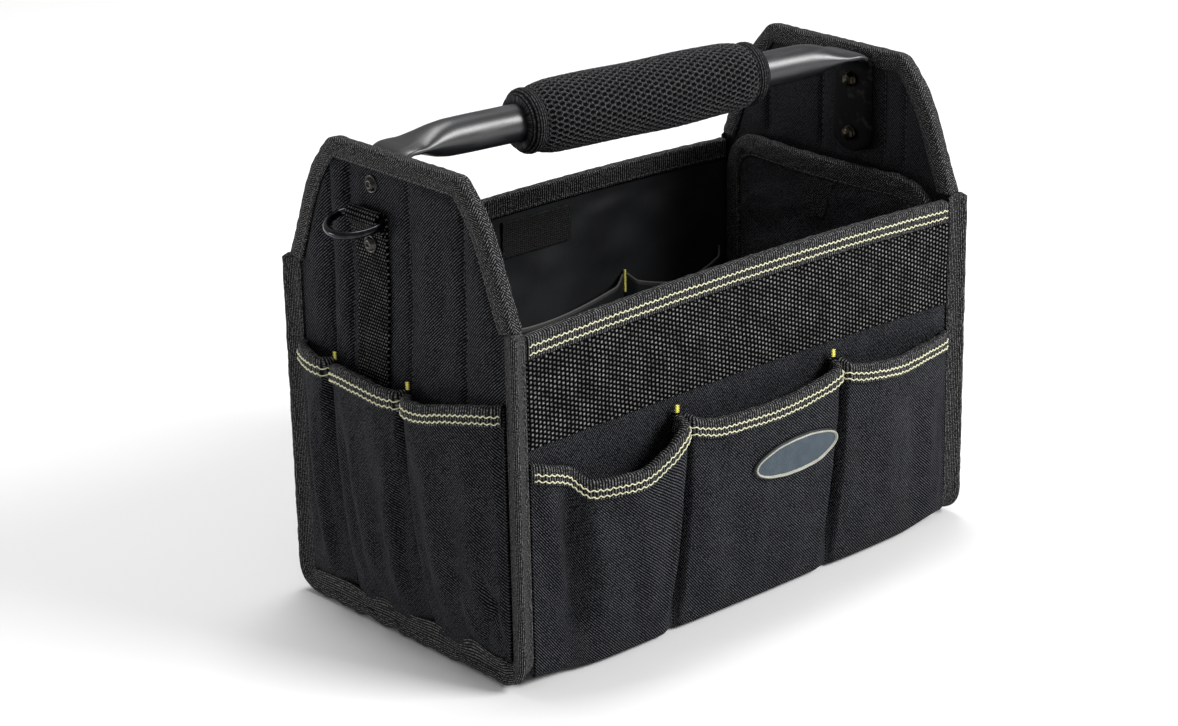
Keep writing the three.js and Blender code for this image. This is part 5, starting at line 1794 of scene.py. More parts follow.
@dataclass
class OuterPockets:
    """The pockets of the side walls and the ends, with their taped openings and bar tacks."""

    top: float = 126.0
    depth: float = 17.0
    sag: float = 20.0
    hem_tuck: float = 5.0
    hem_lift: float = 0.7
    end_top: float = 145.0
    end_depth: float = 15.0
    end_sag: float = 15.0
    end_width: float = 61.0
    lean: float = 10.0
    stitch_rows: tuple[float, ...] = (0.36, 0.76)

    def side(self, name: str) -> Pocket:
        """Return a pocket of the front wall by its name."""
        s = TOTE
        i = [row[0] for row in SIDE_POCKETS].index(name)
        _, start, end, sections = SIDE_POCKETS[i]
        along = lambda share: share * (s.trim_length if abs(share) == 1 else s.half_length)
        lift = lambda x: self.hem_lift * s.base_level(x)
        return Pocket(
            name, along(start) + s.gap, along(end) - s.gap, sections, self.top, self.depth, self.sag,
            s.front, (0.0, -1.0, 0.0), lambda x: s.gap + s.cloth / 2 + lift(x),
            tuck=lambda x: self.hem_tuck * (1 - lift(x) / s.seam_reach),
            folds=SIDE_FOLDS[name], columns=150, seed=100 + i, hollow=12.0 if i == 0 else 0.0,
        )

    def end(self, name: str) -> Pocket:
        """Return a pocket of the left end by its name."""
        s = TOTE
        i = [row[0] for row in END_POCKETS].index(name)
        tacks = [s.fittings_offset + sign * self.end_width / 2 for sign in (1, -1)]
        edges = [s.trim_width, *tacks, -s.trim_width]
        return Pocket(
            name, edges[i] - s.gap, edges[i + 1] + s.gap, END_POCKETS[i][1], self.end_top, self.end_depth,
            self.end_sag, self.leaning, (-1.0, 0.0, 0.0), s.seam_tape_edge, folds=END_FOLDS[name],
            foot_round=2.0, slack=0.5, pinch=17.0, columns=110, rows=96, seed=200 + i, wrinkle=0.5,
        )

    def leaning(self, y: Array, z: Array, out: Array | float) -> Array:
        """Return points out from the left end, moved to the front towards the foot of its middle."""
        s = TOTE
        down = np.clip(1 - z / self.end_top, 0.0, 1.0) ** 1.2
        middle = np.clip(1 - (y / s.trim_width) ** 2, 0.0, 1.0)
        return s.left_end(y - self.lean * down * middle, z, out)

    def fit_pocket(self, shop: Workshop, pocket: Pocket, sides: Sequence[Side], rest: str) -> None:
        """Fit a pocket and its tape on both of its sides."""
        cloth, (width, height), area = pocket.form()
        first, last = pocket.sections[0][1], pocket.sections[-1][1]
        tape = pocket.tape(0.0 if first else 0.012, 1.0 if last else 0.988, pocket.seed)
        cream = [tape.zigzag(down, pocket.seed + i).painted(1) for i, down in enumerate(self.stitch_rows)]
        binding = Form.joined((tape.form(), *cream))
        pieces = shop.fit_pair(sides, cloth, f"{pocket.name}_cloth", (TWILL,), pocket.name)
        for side, piece in zip(sides, pieces):
            resting = rest if rest == "body_wrap" else side.named(rest)
            least = min(area, width * height) * MM**2
            width * MM
            height * MM
        node = f"{pocket.name}_tape"
        shop.fit_pair(sides, binding, f"{pocket.name}_binding", (RIM_RIBS, CREAM), node)

    def tacks(self) -> tuple[Form, Form]:
        """Sew the yellow bar tacks at the tops of the dividers, of a side wall and of an end."""
        s = TOTE
        wall, end = [], []
        for sign in (-1, 1):
            centre = s.front(np.array(sign * DIVIDER * s.half_length), np.array(self.top + 0.5), 3.8)
            wall.append(tack(centre, Z_AXIS, X_AXIS, -Y_AXIS, *TACK))
        for sign in (1, -1):
            y = np.array(s.fittings_offset + sign * self.end_width / 2)
            centre = s.left_end(y, np.array(self.end_top + 1.5), 3.8)
            end.append(tack(centre, Z_AXIS, Y_AXIS, -X_AXIS, *TACK))
        return Form.joined(wall), Form.joined(end)

    def build(self, shop: Workshop) -> None:
        """Fit all outer pockets and their tacks."""
        for name, *_ in SIDE_POCKETS:
            self.fit_pocket(shop, self.side(name), WALLS, "body_wrap")
        for name, _ in END_POCKETS:
            self.fit_pocket(shop, self.end(name), ENDS, "end_panel")
        for form, sides in zip(self.tacks(), (WALLS, ENDS)):
            shop.fit_pair(sides, form, "bar_tacks", (YELLOW,))


@dataclass
class InsidePockets:
    """Lining pockets on the back wall with a thin pale piping, the tacks between them, and a hook patch."""

    top: float = 125.0
    depth: float = 9.0
    sag: float = 12.0
    divider: float = 0.45
    reach: float = 0.92
    cover: float = 1.2
    patch_width: float = 51.0
    patch_height: float = 22.0
    patch: float = 1.6
    patch_middle: float = 5.0
    patch_top: float = 177.0

    def pocket(self, name: str, start: float, end: float, seed: int) -> Pocket:
        """Return one pocket by its shares of half the length."""
        s = TOTE
        sections = ((0, 0, 0), (0.08, 0.6, 0.5), (0.5, 1, 1), (0.92, 0.6, 0.5), (1, 0, 0))
        low = s.base_radius + s.seam_reach + s.gap
        return Pocket(
            name, start * s.half_length + s.gap, end * s.half_length - s.gap, sections, self.top, self.depth,
            self.sag, s.back_inside, (0.0, -1.0, 0.0), lambda x: low + 0 * x, cover=self.cover,
            foot_round=1.0, columns=90, rows=60, seed=seed, wrinkle=0.5,
        )

    def piping(self, pocket: Pocket) -> Form:
        """Run a thin cord along the pocket's opening."""
        along = pocket.along_places(0.01, 0.99, 120)
        line = pocket.skin(along, pocket.opening(along)) + (0.0, self.cover / 2, 0.4)
        return thread(line, np.broadcast_to((0.0, -0.6, 0.8), line.shape), 0.62, 8, finish=1)

    def patch_form(self) -> Form:
        """Lay the patch on the back wall's lining."""
        half = self.patch_width / 2
        columns = Span(self.patch_middle - half, self.patch_middle + half, 40, self.patch / 2)
        rows = Span(self.patch_top - self.patch_height, self.patch_top, 20, self.patch / 2)
        x, z = np.meshgrid(columns.places, rows.places)
        mid = TOTE.back_inside(x, z, 2 * TOTE.gap + self.patch / 2)
        lift = rows.lift[:, None] * columns.lift[None]
        return sheet(mid, facing(mid, -Y_AXIS), self.patch, lift, np.stack((x, z), axis=2))

    def build(self, shop: Workshop) -> None:
        """Fit the pockets, the tacks and the patch."""
        names = ("inner_pocket_left", "inner_pocket_middle", "inner_pocket_right")
        edges = (-self.reach, -self.divider, self.divider, self.reach)
        for i, name in enumerate(names):
            pocket = self.pocket(name, edges[i], edges[i + 1], 300 + i)
            form = Form.joined((pocket.form()[0], self.piping(pocket)))
            shop.fit(form, f"{name}_cloth", (LINING, GREY_THREAD), (name,))
        place = lambda x: TOTE.back_inside(np.array(x), np.array(120.0), 1.6)
        centres = [place(sign * self.divider * TOTE.half_length) for sign in (-1, 1)]
        tacks = Form.joined([tack(centre, Z_AXIS, X_AXIS, -Y_AXIS, 14.0, 1.8) for centre in centres])
        shop.fit(tacks, "inner_bar_tacks", (YELLOW,), ())
        shop.fit(self.patch_form(), "hook_patch_tape", (HOOKS,), ("hook_patch",))


# Fittings of an end


@dataclass
class Strap:
    """The webbing strap up an end, looped round the bar of its ring."""

    width: float = 25.0
    thickness: float = 1.8
    foot: float = 70.0
    ring_height: float = 229.0
    bore: float = 2.5

    @property
    def bar_out(self) -> float:
        """How far the ring's bar stands out from the end panel's plane."""
        return TOTE.crown + TOTE.gap + self.bore + self.thickness

    def line(self) -> Array:
        """Return the strap's middle line as (out, z): up the panel, round the bar and back down."""
        s = TOTE
        radius = self.bore + self.thickness / 2
        z = np.linspace(self.foot, self.ring_height, 70)[:-1]
        bow = s.end_bow_at(np.array(s.fittings_offset - self.width / 2), z)
        rest = bow + s.crown + s.gap + self.thickness / 2
        angle = np.linspace(0, 1.2 * math.pi, 24)
        bar = np.array((self.bar_out, self.ring_height))
        loop = bar + radius * np.stack((-np.cos(angle), np.sin(angle)), axis=1)
        tail = bar - ((0.9, 6.5), (1.2, 9.0))
        return resampled(np.concatenate((np.stack((rest, z), axis=1), loop, tail)), 0.8, 0.8)

    def form(self) -> Form:
        """Thicken the strap between its two selvedges."""
        line = self.line()
        s = TOTE
        run = length_along(line)
        ends = Span(0.0, run[-1], 3, self.thickness / 2)
        across = Span(-self.width / 2, self.width / 2, 24, self.thickness / 2)
        mid = stacked(-s.half_length - line[:, :1], s.fittings_offset + across.places[None], line[:, 1:])
        tangent = unit(np.gradient(line, axis=0))
        normal = stacked(-tangent[:, 1:], 0.0 * across.places[None], -tangent[:, :1])
        lift = np.minimum(np.interp(run, ends.places, ends.lift)[:, None], across.lift[None])
        weave = lattice(run, across.places)
        swell = 0.12 * ripple(run[:, None], across.places[None], 71, 12.0)
        return sheet(mid, normal, self.thickness, lift, weave, swell)

    def build(self, shop: Workshop) -> None:
        """Fit both straps."""
        shop.fit_pair(ENDS, self.form(), "strap_webbing", (STRAP_WEAVE,), "strap")


@dataclass
class StrapRing:
    """A ring of wire with one straight side, hanging a little below level from its strap."""

    wire: float = 4.0
    width: float = 37.0
    reach: float = 21.0
    droop: float = 12.0
    strap: Strap = field(default_factory=Strap)

    def form(self) -> Form:
        """Carry a circle round the ring: a straight bar, two round corners and a half ellipse."""
        half = (self.width - self.wire) / 2
        corner = 1.25 * self.wire
        bend = quarter(12)
        bow = quarter(40)[1:]
        across = np.concatenate((half - corner * (1 - np.sin(bend)), half * np.cos(bow)))
        out = np.concatenate((corner * (1 - np.cos(bend)), mix(corner, self.reach, np.sin(bow))))
        right = np.stack((across, out), axis=1)
        path = np.concatenate((right, right[-2::-1] * (-1.0, 1.0)))
        path = np.concatenate((path, np.linspace(path[-1], path[0], 24)[1:-1]))
        droop = math.radians(self.droop)
        reach = np.array((-math.cos(droop), 0.0, -math.sin(droop)))
        normal = np.array((-math.sin(droop), 0.0, math.cos(droop)))
        bar = np.array((-TOTE.half_length - self.strap.bar_out, TOTE.fittings_offset, self.strap.ring_height))
        line = bar + path[:, :1] * (0.0, 1.0, 0.0) + path[:, 1:] * reach
        tangent = unit(np.roll(line, -1, axis=0) - np.roll(line, 1, axis=0))
        side = np.cross(tangent, normal)
        ring = circles(side, np.broadcast_to(normal, side.shape), 20)
        return Form.sweep(line[:, None] + self.wire / 2 * ring, hoop=True)

    def build(self, shop: Workshop) -> None:
        """Fit both rings on their own bodies."""
        shop.fit_pair(ENDS, self.form(), "ring_wire", (RING_PLATING,), "strap_ring", "ring")


@dataclass
class Bolts:
    """Dome-headed bolts through an end and the handle's foot, with washers outside and nuts inside."""

    heights: tuple[float, float] = (214.0, 245.0)
    radius: float = 2.0
    head: float = 4.2
    rise: float = 2.2
    nut: float = 4.0
    nut_rise: float = 3.4
    sides: int = 36
    strap: Strap = field(default_factory=Strap)

    def turned_form(
        self, profile: Sequence[tuple[float, float]], height: float, hexagon: Sequence[int] = (),
    ) -> Form:
        """Turn a profile of (radius, distance out) round the bolt's axis, with some rings six-sided."""
        angle = whole_turn(self.sides)
        corner = (angle + math.pi / 6) % (math.pi / 3) - math.pi / 6
        rings = []
        for i, (radius, out) in enumerate(profile):
            reach = radius * (math.cos(math.pi / 6) / np.cos(corner) if i in hexagon else np.ones(self.sides))
            y = TOTE.fittings_offset + reach * np.cos(angle)
            rings.append(stacked(-out, y, height + reach * np.sin(angle)))
        return Form.sweep(np.array(rings))

    def form(self, index: int) -> tuple[Form, Form]:
        """Return one bolt's head with its shank, and its nut."""
        s = TOTE
        under = s.half_length + s.crown + s.gap + (self.strap.thickness + s.gap if index == 0 else 0.0)
        face = s.foot_plane - s.foot_thickness / 2 - s.gap
        h, r = self.head, self.rise
        head = [
            (self.radius, face), (self.radius, under - 0.05), (h + 0.5, under - 0.02),
            (h + 0.6, under + 0.25), (h + 0.35, under + 0.55), (h - 0.15, under + 0.5),
            (h - 0.3, under + 0.32), (h - 0.5, under + 0.34), (h - 0.7, under + 0.75),
            (h - 1.3, under + 0.78 * r), (h - 2.1, under + 0.97 * r), (1.65, under + r),
            (1.4, under + r - 0.15), (1.3, under + r - 0.9), (0.3, under + r - 1.1),
        ]
        back = face - self.nut_rise
        n = self.nut
        nut = [
            (self.radius * 0.6, back - 0.4), (self.radius * 0.8, back), (n * 0.62, back + 0.02),
            (n * 0.8, back + 0.3), (n * 0.98, back + 0.8), (n, face - 0.9), (n, face - 0.75),
            (n * 1.06, face - 0.7), (n * 1.06, face - 0.1), (self.radius, face),
        ]
        height = self.heights[index]
        return self.turned_form(head, height), self.turned_form(nut, height, hexagon=(3, 4, 5, 6)).painted(1)

    def build(self, shop: Workshop) -> None:
        """Fit the two bolts of each end."""
        for index, name in enumerate(("lower_bolt", "upper_bolt")):
            form = Form.joined(self.form(index))
            shop.fit_pair(ENDS, form, f"{name}_steel", (BOLT_PLATING, NUT_PLATING), name)


# Handle


@dataclass
class Handle:
    """The steel tube, pressed flat and bent down at both ends, running slightly askew."""

    tube: float = 20.0
    height: float = 260.5
    foot_width: float = 29.0
    foot_lower: float = 204.0
    bend: float = 9.0
    flattening: float = 42.0
    foot_round: float = 8.0

    def form(self) -> Form:
        """Carry the section along the tube.

        A section is a superellipse: cosine and sine raised to a power that goes from 0.62 at the flat
        foot to 1 at the round tube, while its width and thickness go from the foot's to the tube's.
        """
        s = TOTE
        plane = s.foot_plane
        rise = self.height - self.bend - self.foot_lower
        start = self.foot_round * (1 - np.cos(quarter(9)[:-1]))
        climb = np.concatenate((start, np.linspace(self.foot_round, rise, 20)))
        bend = quarter(13)[1:]
        share = np.linspace(0, 1, 40)[1:]
        middle = np.linspace(plane - self.bend - self.flattening, 0, 30)[1:]
        x = np.concatenate((
            np.full(len(climb), plane), plane - self.bend * (1 - np.cos(bend)),
            plane - self.bend - self.flattening * share, middle,
        ))
        z = np.concatenate((
            self.foot_lower + climb, self.height - self.bend * (1 - np.sin(bend)),
            np.full(len(share) + len(middle), self.height),
        ))
        lean = np.concatenate((np.zeros(len(climb)), bend, np.full(len(share) + len(middle), math.pi / 2)))
        table = ((0.0, 0.0), (0.12, 0.16), (0.3, 0.5), (0.5, 0.83), (0.7, 0.97), (1.0, 1.0))
        rounding = np.concatenate((
            np.zeros(len(climb) + len(bend)), through(table, share), np.ones(len(middle)),
        ))
        end = np.ones(len(x))
        end[: len(climb)] = np.sqrt(1 - np.clip(1 - (climb + 0.4) / (self.foot_round + 0.4), 0, 1) ** 2)
        angle = whole_turn(48)
        power = mix(0.62, 1.0, smooth(rounding * 4))[:, None]
        press = lambda value: np.sign(value) * np.abs(value) ** power
        clean = lambda value: np.where(np.abs(value) < 1e-9, 0.0, value)
        width = mix(self.foot_width, self.tube, rounding) * end
        across = press(clean(np.cos(angle))[None]) * width[:, None] / 2
        over = press(clean(np.sin(angle))[None]) * mix(s.foot_thickness, self.tube, rounding)[:, None] / 2
        half = lambda side: stacked(
            side * (x[:, None] + over * np.cos(lean)[:, None]),
            -side * s.fittings_offset * x[:, None] / plane + across,
            z[:, None] + over * np.sin(lean)[:, None],
        )
        rings = np.concatenate((half(-1), half(1)[-2::-1]))
        form = Form.sweep(rings)
        # The feet and the first half of each bend take the darker copy of the tube paint: painted shade.
        row = np.arange(len(form.faces)) // len(angle)
        flat = len(climb) + len(bend) // 2
        form.finish = ((row < flat) | (row > len(rings) - 2 - flat)).astype(int)
        return form

    def build(self, shop: Workshop) -> None:
        """Fit the handle."""
        shop.fit(self.form(), "handle_steel", (TUBE_PAINT, SHADED_FOOT_PAINT), ("handle_tube",))


@dataclass
class Grip:
    """The padded mesh sleeve on the handle, and the knitted band at each end of it."""

    length: float = 156.0
    shift: float = 5.0
    size: float = 39.0
    end: float = 33.0
    band: float = 9.0
    pitch: float = 3.3
    hole: float = 0.95
    columns: int = 264
    rows: int = 330
    handle: Handle = field(default_factory=Handle)

    @property
    def bore(self) -> float:
        """Radius of the hole through the sleeve."""
        return self.handle.tube / 2 + TOTE.gap

    def placed(self, along: Array, radius: Array, angle: Array) -> Array:
        """Return points round the grip's axis, which lies askew along the handle."""
        s = TOTE
        turn = -math.atan2(s.fittings_offset, s.foot_plane)
        across = radius * np.cos(angle)
        x = self.shift + along * math.cos(turn) - across * math.sin(turn)
        y = -self.shift * s.fittings_offset / s.foot_plane + along * math.sin(turn) + across * math.cos(turn)
        return stacked(x, y, self.handle.height + radius * np.sin(angle))

    def openness(self, along: Array, around: Array, size: float) -> Array:
        """Return 1 in a hole of the mesh and 0 between, from the distance to the nearest hole's middle.

        The holes stand in rows a pitch apart, every other row shifted by half a pitch.
        """
        count = round(size / self.pitch)
        pitch = size / count
        nearest = np.full(np.broadcast(along, around).shape, np.inf)
        for shift in (-1, 0, 1):
            row = np.round(along / self.pitch) + shift
            place = around / pitch - 0.5 * (row % 2)
            side = (place - np.round(place)) * pitch
            nearest = np.minimum(nearest, np.hypot(0.72 * (along - row * self.pitch), side))
        return 1 - smooth((nearest - 0.26 * self.pitch) / (0.2 * self.pitch))

    def sleeve(self) -> tuple[Form, Array]:
        """Turn the padded sleeve with its dimples, and return it with its openness at each point."""
        half = self.length / 2 - self.band - TOTE.gap
        along = np.linspace(-half, half, self.rows)[:, None]
        angle = whole_turn(self.columns)[None]
        table = ((0, 0), (0.03, 0.55), (0.1, 0.95), (0.5, 1), (0.9, 0.95), (0.97, 0.55), (1, 0))
        swell = through(table, (along / half + 1) / 2)
        radius = mix(self.end, self.size, swell) / 2
        around = angle * self.size / 2
        radius = radius + 0.5 * ripple(along, around, 81, 40.0) * smooth((half - np.abs(along)) / 14)
        open_share = self.openness(along, around, math.pi * self.size)
        outer = self.placed(along, radius - self.hole * open_share, angle)
        inside = along[::-1][[0, self.rows // 3, 2 * self.rows // 3, -1]]
        rings = np.concatenate((outer, self.placed(inside, np.full(inside.shape, self.bore), angle)))
        rows = np.concatenate((along, inside, along[:1]))[:, 0]
        weave = lattice(rows, np.linspace(0, math.pi * self.size, self.columns + 1))
        form = Form.sweep(rings, hoop=True, weave=weave)
        marks = np.concatenate((open_share.ravel(), np.zeros(len(inside) * self.columns)))
        return form, marks

    def cuff(self, side: int) -> Form:
        """Turn one knitted band: puffed between two seams, with ribs round its width."""
        outer = self.length / 2
        share = np.linspace(0, 1, 18)
        narrowing = self.band / 4 * smooth((share - 0.62) / 0.38)
        puff = 0.9 * np.sin(math.pi * np.clip(share * 1.3, 0, 1)) - narrowing
        profile_along = np.concatenate((outer - self.band * (1 - share), [outer, outer - self.band]))
        profile_radius = np.concatenate((self.end / 2 + puff, [self.bore, self.bore]))
        angle = whole_turn(120)[None]
        pleat = 0.12 * np.sin(46 * angle) * (profile_radius > 12)[:, None]
        rings = self.placed(side * profile_along[:, None], profile_radius[:, None] + pleat, angle)
        return Form.sweep(rings, hoop=True)

    def build(self, shop: Workshop) -> None:
        """Fit the sleeve and its bands."""
        form, marks = self.sleeve()
        # The hole marks set where the painted shade of the holes falls.
        holes = {"hole": marks}
        piece = shop.fit(form, "grip_mesh_sleeve", (AIR_MESH,), ("grip_sleeve",), marks=holes)
        for side, name in ((-1, "left"), (1, "right")):
            shop.fit(self.cuff(side), f"{name}_grip_knit", (KNIT,), (f"{name}_grip_band",))


# Inside of the ends


@dataclass
class Liner:
    """The stiff cloth-covered sheet inside an end, bound round its top, with a tab on the right one."""

    height: float = 196.0
    thickness: float = 2.5
    width: float = 160.0
    radius: float = 26.0
    bow: float = 8.0
    space: float = 2.0
    tape_foot: float = 40.0
    tab_top: float = 30.0
    tab_foot: float = 9.0
    tab_length: float = 24.0
    tab_middle: float = -2.0
    tab_thickness: float = 1.2

    def place(self, y: Array, z: Array, inward: Array | float) -> Array:
        """Return points inward of the liner's outer face, which leans into the tote towards its top."""
        bow = self.bow * (z / self.height) ** 2 * (1 - (2 * y / self.width) ** 2)
        return stacked(-TOTE.end_inner + self.space + bow + inward, y, z)

    def half_width(self, z: Array) -> Array:
        """Return half the liner's width, with round corners above and below."""
        s = TOTE
        top = np.clip(z - self.height + self.radius, 0.0, self.radius)
        upper = self.width / 2 - self.radius + np.sqrt(self.radius**2 - top**2)
        small = s.base_radius - s.wall - s.gap
        low = np.clip(s.seam_reach + s.base_radius - z, 0.0, small)
        return np.minimum(upper, s.half_width - s.base_radius + np.sqrt(small**2 - low**2))

    def sheet_form(self) -> Form:
        """Lay the sheet on a grid that follows its outline, soft and slightly uneven."""
        s = TOTE
        low = s.seam_reach + s.base_radius - (s.base_radius - s.wall - s.gap)
        z = np.concatenate((
            np.linspace(low, self.height - self.radius, 60),
            self.height - self.radius + self.radius * np.sin(quarter(24)[1:]),
        ))[:, None]
        y = np.linspace(-1.0, 1.0, 100)[None] * self.half_width(z)
        z = np.broadcast_to(z, y.shape)
        edge = smooth((self.half_width(z) - np.abs(y)) / 16) * smooth((self.height - z) / 18)
        soft = (ripple(y, z, 91, 38.0) + 0.25 * ripple(y, z, 92, 14.0) + 0.9) * edge
        weave = np.stack((y, z), axis=2)
        return Form.shell(self.place(y, z, self.thickness + soft), self.place(y, z, 0.0), weave, shared=False)

    def tape(self) -> Tape:
        """Lay the binding up one side, over the top and down the other side."""
        s = TOTE
        angle = quarter(14)
        side = self.width / 2
        corner = np.stack((
            side - self.radius * (1 - np.cos(angle)), self.height - self.radius * (1 - np.sin(angle))
        ), axis=1)
        half = np.concatenate((((side, self.tape_foot),), corner))
        path = resampled(np.concatenate((half, half[::-1] * (-1.0, 1.0))), 2.2, 1.0)
        root = path + s.tape_fold * leftward(path)
        outs = np.broadcast_to(X_AXIS, (len(path), 3))
        edge = self.place(path[:, 0], path[:, 1], self.thickness)
        foot = self.place(root[:, 0], root[:, 1], self.thickness)
        ease = 2 * s.gap
        return Tape(edge, foot, outs, outs, self.thickness, ease, ease, pucker=0.3, seed=95)

    def tab(self) -> Form:
        """Lay the tapered tab on the liner, below its tape."""
        s = TOTE
        top = self.height - s.tape_fold - s.gap
        rows = Span(0.0, 1.0, 16, 0.5 * self.tab_thickness / self.tab_length)
        columns = Span(-0.5, 0.5, 16, 0.03)
        down, share = rows.places[:, None], columns.places[None]
        y = self.tab_middle + share * mix(self.tab_top, self.tab_foot, down)
        z = np.broadcast_to(top - down * self.tab_length, y.shape)
        mid = self.place(y, z, self.thickness + 2 * s.gap + self.tab_thickness / 2)
        lift = rows.lift[:, None] * columns.lift[None]
        return sheet(mid, facing(mid, X_AXIS), self.tab_thickness, lift, np.stack((y, z), axis=2))

    def build(self, shop: Workshop) -> None:
        """Fit both liners with their bindings, and the tab."""
        tape = self.tape()
        binding = Form.joined((tape.form(), tape.dashed(0.85, 2.3, 1.2, 0.3).painted(1)))
        finishes = (HERRINGBONE, GREY_THREAD)
        # The liner sheet takes the lighter copy of the twill: painted light inside the end.
        shop.fit_pair(ENDS, self.sheet_form(), "liner_cloth", (LIT_TWILL,), "liner")
        shop.fit_pair(ENDS, binding, "liner_edge_tape", finishes, "liner_binding")
        shop.fit(self.tab().turned(), "liner_tab_webbing", (HERRINGBONE,), ("liner_tab",))


@dataclass
class Badge:
    """A plain soft oval badge with a raised pale border, lying on the middle front pocket."""

    width: float = 67.0
    height: float = 22.0
    thickness: float = 2.4
    middle: float = 19.0
    level: float = 83.0
    sides: int = 128
    profile: tuple[tuple[float, float], ...] = (
        (0.02, 0.62), (0.2, 0.62), (0.4, 0.61), (0.6, 0.58), (0.72, 0.55), (0.775, 0.53), (0.8, 0.55),
        (0.815, 0.78), (0.835, 0.92), (0.865, 0.94), (0.89, 0.9), (0.905, 0.72), (0.925, 0.6), (0.955, 0.58),
        (0.98, 0.5), (0.995, 0.35), (1.0, 0.1), (0.99, -0.1),
    )
    border: tuple[int, int] = (5, 10)

    def form(self, pocket: Pocket) -> Form:
        """Lay rings of the oval's profile on the pocket's skin.

        A ring's place is its share of the way out from the badge's middle, and its height stands above
        the pocket's skin: a low domed face, a raised border and a dark rim that drops to the cloth.
        """
        share, rise = np.array(self.profile).T
        angle = whole_turn(self.sides)[None]
        reach_x = self.width / 2 - (1 - share) * self.height / 2
        spread = np.where(share > 0.5, reach_x, share / 0.5 * np.interp(0.5, share, reach_x))
        x = self.middle + spread[:, None] * np.cos(angle)
        z = self.level + (share * self.height / 2)[:, None] * np.sin(angle)
        base = pocket.skin(x, z)
        form = Form.sweep(base - Y_AXIS * (TOTE.gap + rise * self.thickness)[:, None, None])
        row = np.arange(len(form.faces)) // self.sides
        first, last = self.border
        middle_fan = row == len(share) - 1
        form.finish = np.where((row < first) | middle_fan, 0, np.where(row <= last, 1, 2))
        return form

    def build(self, shop: Workshop, pocket: Pocket) -> None:
        """Fit the badge."""
        finishes = (BADGE_FACE, BADGE_BORDER, BADGE_RIM)
        shop.fit(self.form(pocket), "oval_badge", finishes, ("badge",))


# Studio


def set_up(name: str, data: bpy.types.ID, axes: Sequence[Array], place: Array) -> bpy.types.Object:
    """Put a lamp or a camera into the scene.

    Args:
        name: Name of the object.
        data: The lamp or the camera.
        axes: Its own X, Y and Z axes.
        place: Its place, in metres.

    Returns:
        The new object.
    """
    frame = np.eye(4)
    frame[:3, :3] = np.stack(axes, axis=1)
    frame[:3, 3] = place
    thing = bpy.data.objects.new(name, data)
    thing.matrix_world = Matrix(frame.tolist())
    bpy.context.scene.collection.objects.link(thing)
    return thing


@dataclass(frozen=True)
class SoftLight:
    """A rectangular light: its place, the point that it faces and its size in metres, and its watts."""

    name: str
    place: tuple[float, float, float]
    aim: tuple[float, float, float]
    size: tuple[float, float]
    watts: float

    def hang(self) -> None:
        """Hang the light, with its back axis away from the point that it faces."""
        light = bpy.data.lights.new(self.name, "AREA")
        light.shape = "RECTANGLE"
        light.size, light.size_y = self.size
        light.energy = self.watts
        back = unit(np.array(self.place) - np.array(self.aim))
        across = unit(np.cross(Z_AXIS, back))
        set_up(self.name, light, (across, np.cross(back, across), back), np.array(self.place))


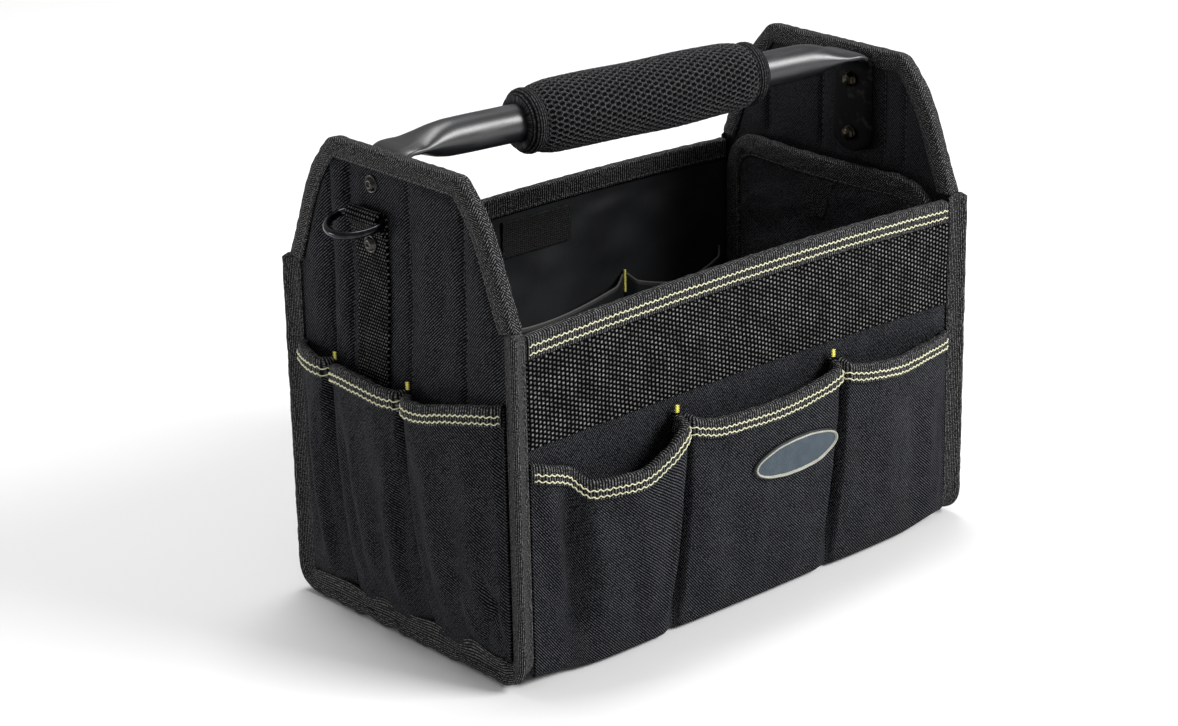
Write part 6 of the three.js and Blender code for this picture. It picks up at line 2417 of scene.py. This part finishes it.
@dataclass
class Studio:
    """Pale floor, soft lights and the camera, at the photograph's angle."""

    floor: float = 6.0
    floor_drop: float = 0.0004
    sky: float = 0.34
    lights: tuple[SoftLight, ...] = (
        SoftLight("key_light", (1.3, -2.1, 1.7), (0.0, 0.0, 0.1), (1.4, 1.1), 92.0),
        SoftLight("side_light", (-1.5, 1.5, 0.16), (-0.15, 0.0, 0.1), (0.6, 0.5), 12.0),
        SoftLight("top_light", (0.2, 0.6, 2.6), (0.0, 0.0, 0.1), (1.5, 1.0), 44.0),
    )
    lens: float = 93.5
    camera_mm: tuple[float, float, float] = (-1057.5, -1150.4, 699.5)
    right: tuple[float, float, float] = (0.74204523, -0.67008802, -0.01873288)
    up: tuple[float, float, float] = (0.24910429, 0.24969502, 0.93573471)
    forward: tuple[float, float, float] = (0.62234711, 0.69902392, -0.3522068)

    def lay_floor(self, shop: Workshop) -> None:
        """Lay the floor just below the tote."""
        size, level = self.floor, -self.floor_drop
        mesh = bpy.data.meshes.new("studio_floor")
        square = [(-size, -size, level), (size, -size, level), (size, size, level), (-size, size, level)]
        mesh.from_pydata(square, [], [(0, 1, 2, 3)])
        mesh.materials.append(shop.material(PaleFloor()))
        floor = bpy.data.objects.new("studio_floor", mesh)
        bpy.context.scene.collection.objects.link(floor)
        floor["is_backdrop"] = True

    def set_lights(self) -> None:
        """Light the sky evenly and hang the soft lights."""
        world = bpy.data.worlds.new("studio_world")
        world.use_nodes = True
        sky = world.node_tree.nodes["Background"]
        sky.inputs[0].default_value = (1.0, 1.0, 1.0, 1.0)
        sky.inputs[1].default_value = self.sky
        bpy.context.scene.world = world
        for light in self.lights:
            light.hang()

    def set_camera(self) -> None:
        """Put the camera where the photograph's lines meet."""
        camera = bpy.data.cameras.new("photo_camera")
        camera.lens = self.lens
        camera.sensor_width = 36.0
        camera.sensor_fit = "HORIZONTAL"
        camera.clip_start, camera.clip_end = 0.05, 60.0
        axes = (self.right, self.up, -np.array(self.forward))
        scene = bpy.context.scene
        scene.camera = set_up("photo_camera", camera, axes, np.array(self.camera_mm) * MM)
        scene.view_settings.view_transform = "Standard"

    def build(self, shop: Workshop) -> None:
        """Set up the studio."""
        self.lay_floor(shop)
        self.set_lights()
        self.set_camera()


def corners(box: object) -> list[list[float]]:
    """Return a box's two corners as plain lists."""
    return [[float(value) for value in corner] for corner in box]


def main() -> None:
    """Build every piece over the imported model."""
    logging.basicConfig(level=logging.INFO, format="%(message)s")
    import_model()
    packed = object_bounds()
    shop = Workshop()
    Studio().build(shop)
    pockets = OuterPockets()
    for part in (
        BodyWrap(), EndPanel(), EndBinding(), CornerSeam(), RimTrim(), pockets, InsidePockets(), Strap(),
        StrapRing(), Bolts(), Handle(), Grip(), Liner(),
    ):
        part.build(shop)
    Badge().build(shop, pockets.side("pocket_2"))
    {"cad": corners(packed), "visual": corners(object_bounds())}


if __name__ == "__main__":
    main()
